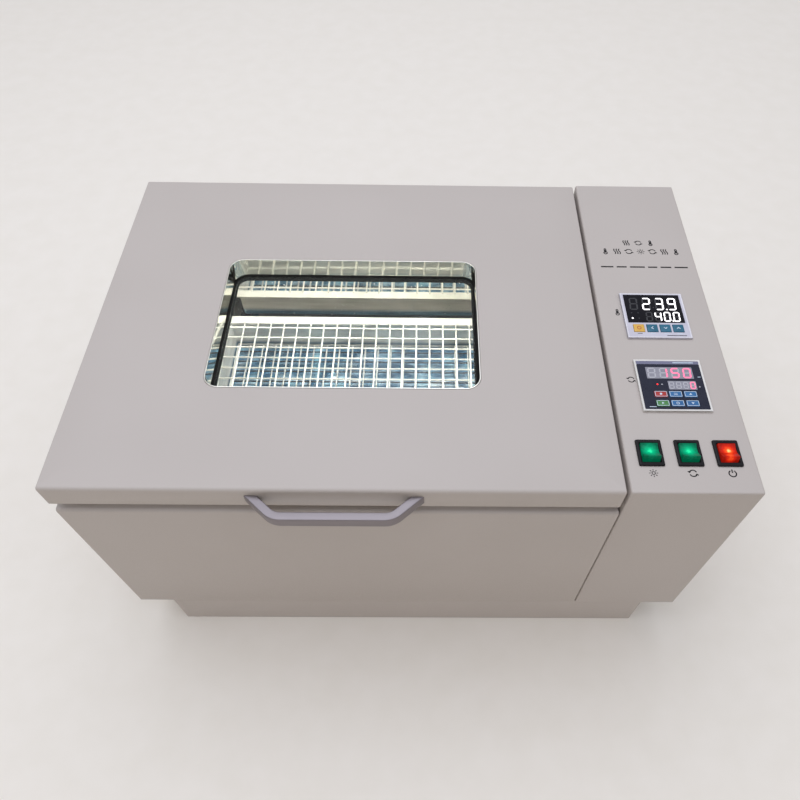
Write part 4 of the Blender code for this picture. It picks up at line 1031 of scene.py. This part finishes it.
def build_rockers():
    tilt = math.radians(10)
    side = []
    for b, c in rocker_side():
        side.append((b * math.cos(tilt) + c * math.sin(tilt), c * math.cos(tilt) - b * math.sin(tilt)))
    for name, x in ROCKERS.items():
        build_bezel(name, x)
        loops = []
        for across, shrink in ((-8.6, 0.35), (-8.25, 0), (8.25, 0), (8.6, 0.35)):
            ring = []
            for b, c in side:
                size = 1 - shrink / math.hypot(b, c)
                ring.append((x + across, ROCKER_Y + b * size, ROCKER_PIVOT + c * size))
            loops.append(ring)
        loop_piece(
            f"switch_lens_{name}", loops, rocker_lens(name, x), f"rocker_{name}_body",
            [f"rocker_{name}"], angle=25, ring=False,
        )


def rocker_lens(name, x):
    if name == "power":
        tones = ((0.16, 0.003, 0.001), (0.48, 0.012, 0.003), (0.9, 0.10, 0.015), (1.1, 0.75, 0.25))
        spots = (
            ((x + 0.5, ROCKER_Y + 1.5, ROCKER_PIVOT + 4.5), 9),
            ((x - 0.5, ROCKER_Y - 6.5, ROCKER_PIVOT + 5), 7),
        )
        return lit_lens("lit_rocker_power", (0.30, 0.012, 0.005), tones, spots)
    tones = ((0.0, 0.07, 0.03), (0.0, 0.24, 0.11), (0.0, 0.50, 0.22), (0.02, 1.0, 0.42))
    spots = (((x - 0.5, ROCKER_Y + 0.5, ROCKER_PIVOT + 4.5), 11),)
    return lit_lens(f"lit_rocker_{name}", (0.0, 0.06, 0.035), tones, spots)


# Printed pictograms on the panel

def icon_strokes(kind, size):
    """Lines of a pictogram inside a square: (points, closed)."""
    r = size / 2
    if kind == "light":
        rays = zip(disc(0, 0, 0.62 * r, 8), disc(0, 0, r, 8))
        return [(disc(0, 0, 0.36 * r, 14), True)] + [(ray, False) for ray in rays]
    if kind == "orbit":
        head = [(1.1 * r, -0.5 * r), (0.75 * r, -0.25 * r), (0.5 * r, -0.6 * r)]
        return [
            (arc((0, 0), 0.8 * r, 20, 160, 10), False), (arc((0, 0), 0.8 * r, 200, 340, 10), False),
            ([(-a, -b) for a, b in head], False), (head, False),
        ]
    if kind == "power":
        return [(arc((0, 0), 0.8 * r, -240, 60, 16), False), ([(0, 0.15 * r), (0, 1.05 * r)], False)]
    if kind == "heat":
        waves = []
        for dx in (-0.6, 0.0, 0.6):
            points = []
            for i in range(9):
                t = i / 8
                points.append((dx * r + 0.18 * r * math.sin(2 * math.pi * t), r * (2 * t - 1)))
            waves.append((points, False))
        return waves
    bulb = arc((0, -0.6 * r), 0.42 * r, 120, 420, 12)
    stem = [(0.21 * r, 0.75 * r)] + arc((0, 0.75 * r), 0.21 * r, 20, 160, 5)
    return [(bulb + stem, True), ([(0, -0.6 * r), (0, 0.4 * r)], False)]


def build_prints():
    low, high = TOP + 0.01, TOP + 0.06
    bm = bmesh.new()

    def icon(kind, x, y, size, width):
        for points, closed in icon_strokes(kind, size):
            add_ribbon(bm, shifted(points, x, y), width, low, high, closed=closed)

    for name, x in ROCKERS.items():
        kind = "orbit" if name == "shake" else name
        icon(kind, x, ROCKER_Y - 23.2, 9, 0.8 if kind == "light" else 1.3)
    icon("bulb", PANEL_X - 41.5, TEMP_Y + 8, 9, 1.1)
    icon("orbit", PANEL_X - 41.5, SPEED_Y + 10, 8.5, 1.1)
    for kind, x in (("heat", 268), ("orbit", 283), ("bulb", 298)):
        icon(kind, x, 124, 9, 1.3)
    for i, kind in enumerate(("bulb", "heat", "orbit", "light", "orbit", "heat", "bulb")):
        icon(kind, 240 + 14.5 * i, 108, 9.6, 0.9 if kind == "light" else 1.3)
    for x0, x1 in ((231, 246), (250, 262), (266, 284), (288, 299), (303, 316), (320, 336)):
        add_bar(bm, x0, x1, 80, 2.2, low, high)
    piece("panel_marks", bm, INK, "cabinet")


# Back: screws, hinge details and the inlet's pins

def add_screw(bm, centre, r=3.2):
    """A pan-head screw that faces the back, with a cross recess."""
    axis = (0, 1, 0)
    profile = [(0, -0.4), (r, -0.4), (r, 0.25 * r), (0.93 * r, 0.4 * r), (0.7 * r, 0.58 * r), (0, 0.66 * r)]
    add_lathe(bm, profile, centre, axis, 24)
    for angle in (35, 125):
        turn = Matrix.Rotation(math.radians(angle), 4, "Z")
        add_box(
            bm, (-0.5 * r, -0.09 * r, 0.655 * r), (0.5 * r, 0.09 * r, 0.675 * r), index=1,
            matrix=placed(centre, axis) @ turn,
        )


def build_back():
    bm = bmesh.new()
    for x in (226.5, 338.5):
        for z in (75, 203, 333):
            add_screw(bm, (x, BACK + 0.02, z))
    for x in (262, 302):
        add_screw(bm, (x, BACK + 3.3, 80), 2.2)
    piece("cover_screws", bm, [ZINC, BLACK], "cabinet")

    for side, x in (("left", -235), ("right", 105)):
        for part, body, z in (("fixed", "cabinet", 291), ("moving", "lid", 325)):
            bm = bmesh.new()
            for dx in (-20, 0, 20):
                add_screw(bm, (x + dx, BACK + 1.8, z), 2.8)
            piece(f"hinge_screws_{part}_{side}", bm, [ZINC, BLACK], body)

    bm = bmesh.new()
    for x, z in ((275.5, 78.5), (282, 82), (288.5, 78.5)):
        add_box(bm, (x - 1, BACK - 15.9, z - 2), (x + 1, BACK - 2, z + 2), 0.4)
    piece("inlet_pins", bm, ZINC, "cabinet")


def build_lamp():
    """A tube on a base plate, between two holders, on the chamber's right wall."""
    wall, z = 210.7, 277
    bm = bmesh.new()
    add_box(bm, (-10, wall - 6, 262), (90, wall, 292), 1.5, steps=4)
    for x in (-6, 80):
        add_box(bm, (x, wall - 14, z - 7), (x + 6, wall - 5, z + 7), 1)
    radius, length = 9.6, 76
    end = []
    for angle in (30, 60, 90):
        a = math.radians(angle)
        end.append((radius * math.sin(a), radius * 0.4 * (1 - math.cos(a))))
    profile = [(0, 0)] + end + [(r, length - h) for r, h in reversed(end)] + [(0, length)]
    add_lathe(bm, profile, (2, wall - 14, z), (1, 0, 0), 28, 1)
    piece("chamber_light", bm, [LAMP_BASE, LAMP], "cabinet", ["chamber_lamp"])


# CAD nodes that are shown as they are, with finer edges and their own finish

CARRIED = (
    (PAINT, 0.4, "rear_cover"),
    (LINER, 0.4, "chamber_liner", "temperature_probe"),
    (LINER, 0.3, "lid_liner"),
    (SILICONE, 1.0, "chamber_seal"),
    (WOOL, 1.2, "insulation_jacket"),
    (ZINC, 0.5, "crank_wheel", "idler_crank_1", "idler_crank_2", "idler_crank_3", "idler_crank_4"),
    (ZINC, 0.4, "air_duct", "motor_pulley"),
    (ZINC, 0.3, "base_plate", "hinge_pin_left", "hinge_pin_right"),
    (ZINC, 0.3, "cabinet_hinge_leaf_left", "cabinet_hinge_leaf_right"),
    (ZINC, 0.3, "lid_hinge_leaf_left", "lid_hinge_leaf_right"),
    (ZINC, 0, "heater"),
    (CAST, 0.8, "fan_motor", "shaker_platform"),
    (CAST, 0.6, "drive_chassis"),
    (CAST, 0.2, "fan_wheel"),
    (RUBBER, 0.3, "drive_belt"),
    (BLACK, 0.8, "drive_motor"),
    (BLACK, 0.4, "power_inlet"),
    (SILVER, 0.25, "temp_controller"),
    (WHITE, 0.25, "speed_controller"),
    (DARK_GLASS, 0, "temp_display"),
    (GREY_GLASS, 0, "speed_display"),
)


def carry_over():
    carried = [(name, mat, edge) for mat, edge, *names in CARRIED for name in names]
    for name, mat, edge in carried:
        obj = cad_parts[name]
        obj.data.materials.clear()
        obj.data.materials.append(mat)
        weld = obj.modifiers.new("weld", "WELD")
        weld.merge_threshold = 0.00001
        flat = obj.modifiers.new("flat", "DECIMATE")
        flat.decimate_type = "DISSOLVE"
        flat.angle_limit = math.radians(1)
        if edge:
            bevel = obj.modifiers.new("edge", "BEVEL")
            bevel.width = edge * MM
            bevel.segments = 2
            bevel.limit_method = "ANGLE"
            bevel.angle_limit = math.radians(50)
        shade = obj.modifiers.new("shade", "WEIGHTED_NORMAL")
        shade.weight = 100
        shade.keep_sharp = True


build_lid_shell()
build_cabinet_shell()
build_plinth()
build_column()
build_window()
build_handle()
build_tray()
build_film()
build_grid("upper_mesh", "upper_grid", TRAY_TOP + GAP, 217, 183, 15, [WIRE_STEEL])
# The lower grid carries painted shade: darker front-to-back wires and near-black cross wires.
build_grid("lower_mesh", "lower_grid", LOWER_GRID, 200.7, 166.7, 4, [PAINTED_SHADE_WIRE, PAINTED_DEEP_SHADE_WIRE], stagger=True)
build_temp_controller()
build_temp_keys()
build_speed_controller()
build_speed_keys()
build_rockers()
build_prints()
build_back()
build_lamp()
carry_over()


# Stage: floor, sky, lights and camera

def build_stage():
    bm = bmesh.new()
    bmesh.ops.create_grid(bm, x_segments=8, y_segments=8, size=4 * METRE)
    bmesh.ops.translate(bm, vec=(0, 0, -0.2), verts=bm.verts)
    floor = solid("floor", bm)
    look = Look("floor_paper")
    tone = look.tones(look.noise(40, 2), (0.86, 0.81, 0.735), (0.88, 0.83, 0.76))
    floor.data.materials.append(look.feed(Base_Color=tone, Roughness=0.9, Specular_IOR_Level=0.1))

    world = bpy.data.worlds.new("studio")
    bpy.context.scene.world = world
    sky = Look("studio", world)
    height = sky.node("SeparateXYZ", "Z", Vector=sky.place)
    stops = [
        (0.0, (0.135, 0.113, 0.08)), (0.32, (0.175, 0.15, 0.112)), (0.65, (0.82, 0.84, 0.90)),
        (1.0, (1.0, 1.035, 1.14)),
    ]
    sky.feed(Color=sky.ramp(height, stops), Strength=1.0)
    bpy.context.scene.view_settings.view_transform = "Standard"


def add_area(name, place, target, size, power, color):
    light = bpy.data.lights.new(name, "AREA")
    light.shape = "RECTANGLE"
    light.size, light.size_y = size
    light.energy = power
    light.color = color
    lamp = linked(name, light)
    lamp.location = place
    aim = Vector(target) - Vector(place)
    lamp.rotation_euler = aim.to_track_quat("-Z", "Y").to_euler()
    lamp.visible_camera = False


def build_camera():
    data = bpy.data.cameras.new("camera")
    data.lens = 29.732
    data.sensor_width = 36
    data.shift_x, data.shift_y = -0.0435, 0.1053
    data.clip_start = 0.01
    camera = linked("camera", data)
    right = Vector((0.99989148, -0.00107374, 0.01469261))
    down = Vector((0.00680439, -0.85091941, -0.52525219))
    ahead = Vector((0.01306621, 0.52529516, -0.85081976))
    matrix = Matrix((right, -down, -ahead)).transposed().to_4x4()
    matrix.translation = (0.022276, -0.560683, 0.878342)
    camera.matrix_world = matrix
    bpy.context.scene.camera = camera


build_stage()
add_area("overhead", (-0.45, 0.5, 2.4), (0, 0, 0.2), (2.6, 1.6), 17, (0.93, 0.98, 1.07))
add_area("front_fill", (0, -2.0, 0.7), (0, -0.24, 0.28), (2.4, 0.5), 1.8, (1.0, 0.80, 0.55))
add_area(
    "chamber_front", (-0.07, -0.17, 0.304), (-0.07, -0.06, 0.12), (0.44, 0.06), 0.55, (1.0, 0.97, 0.91)
)
add_area(
    "chamber_rear", (-0.07, 0.197, 0.305), (-0.07, 0.18, 0.1), (0.46, 0.02), 1.45, (1.0, 0.98, 0.95)
)
build_camera()
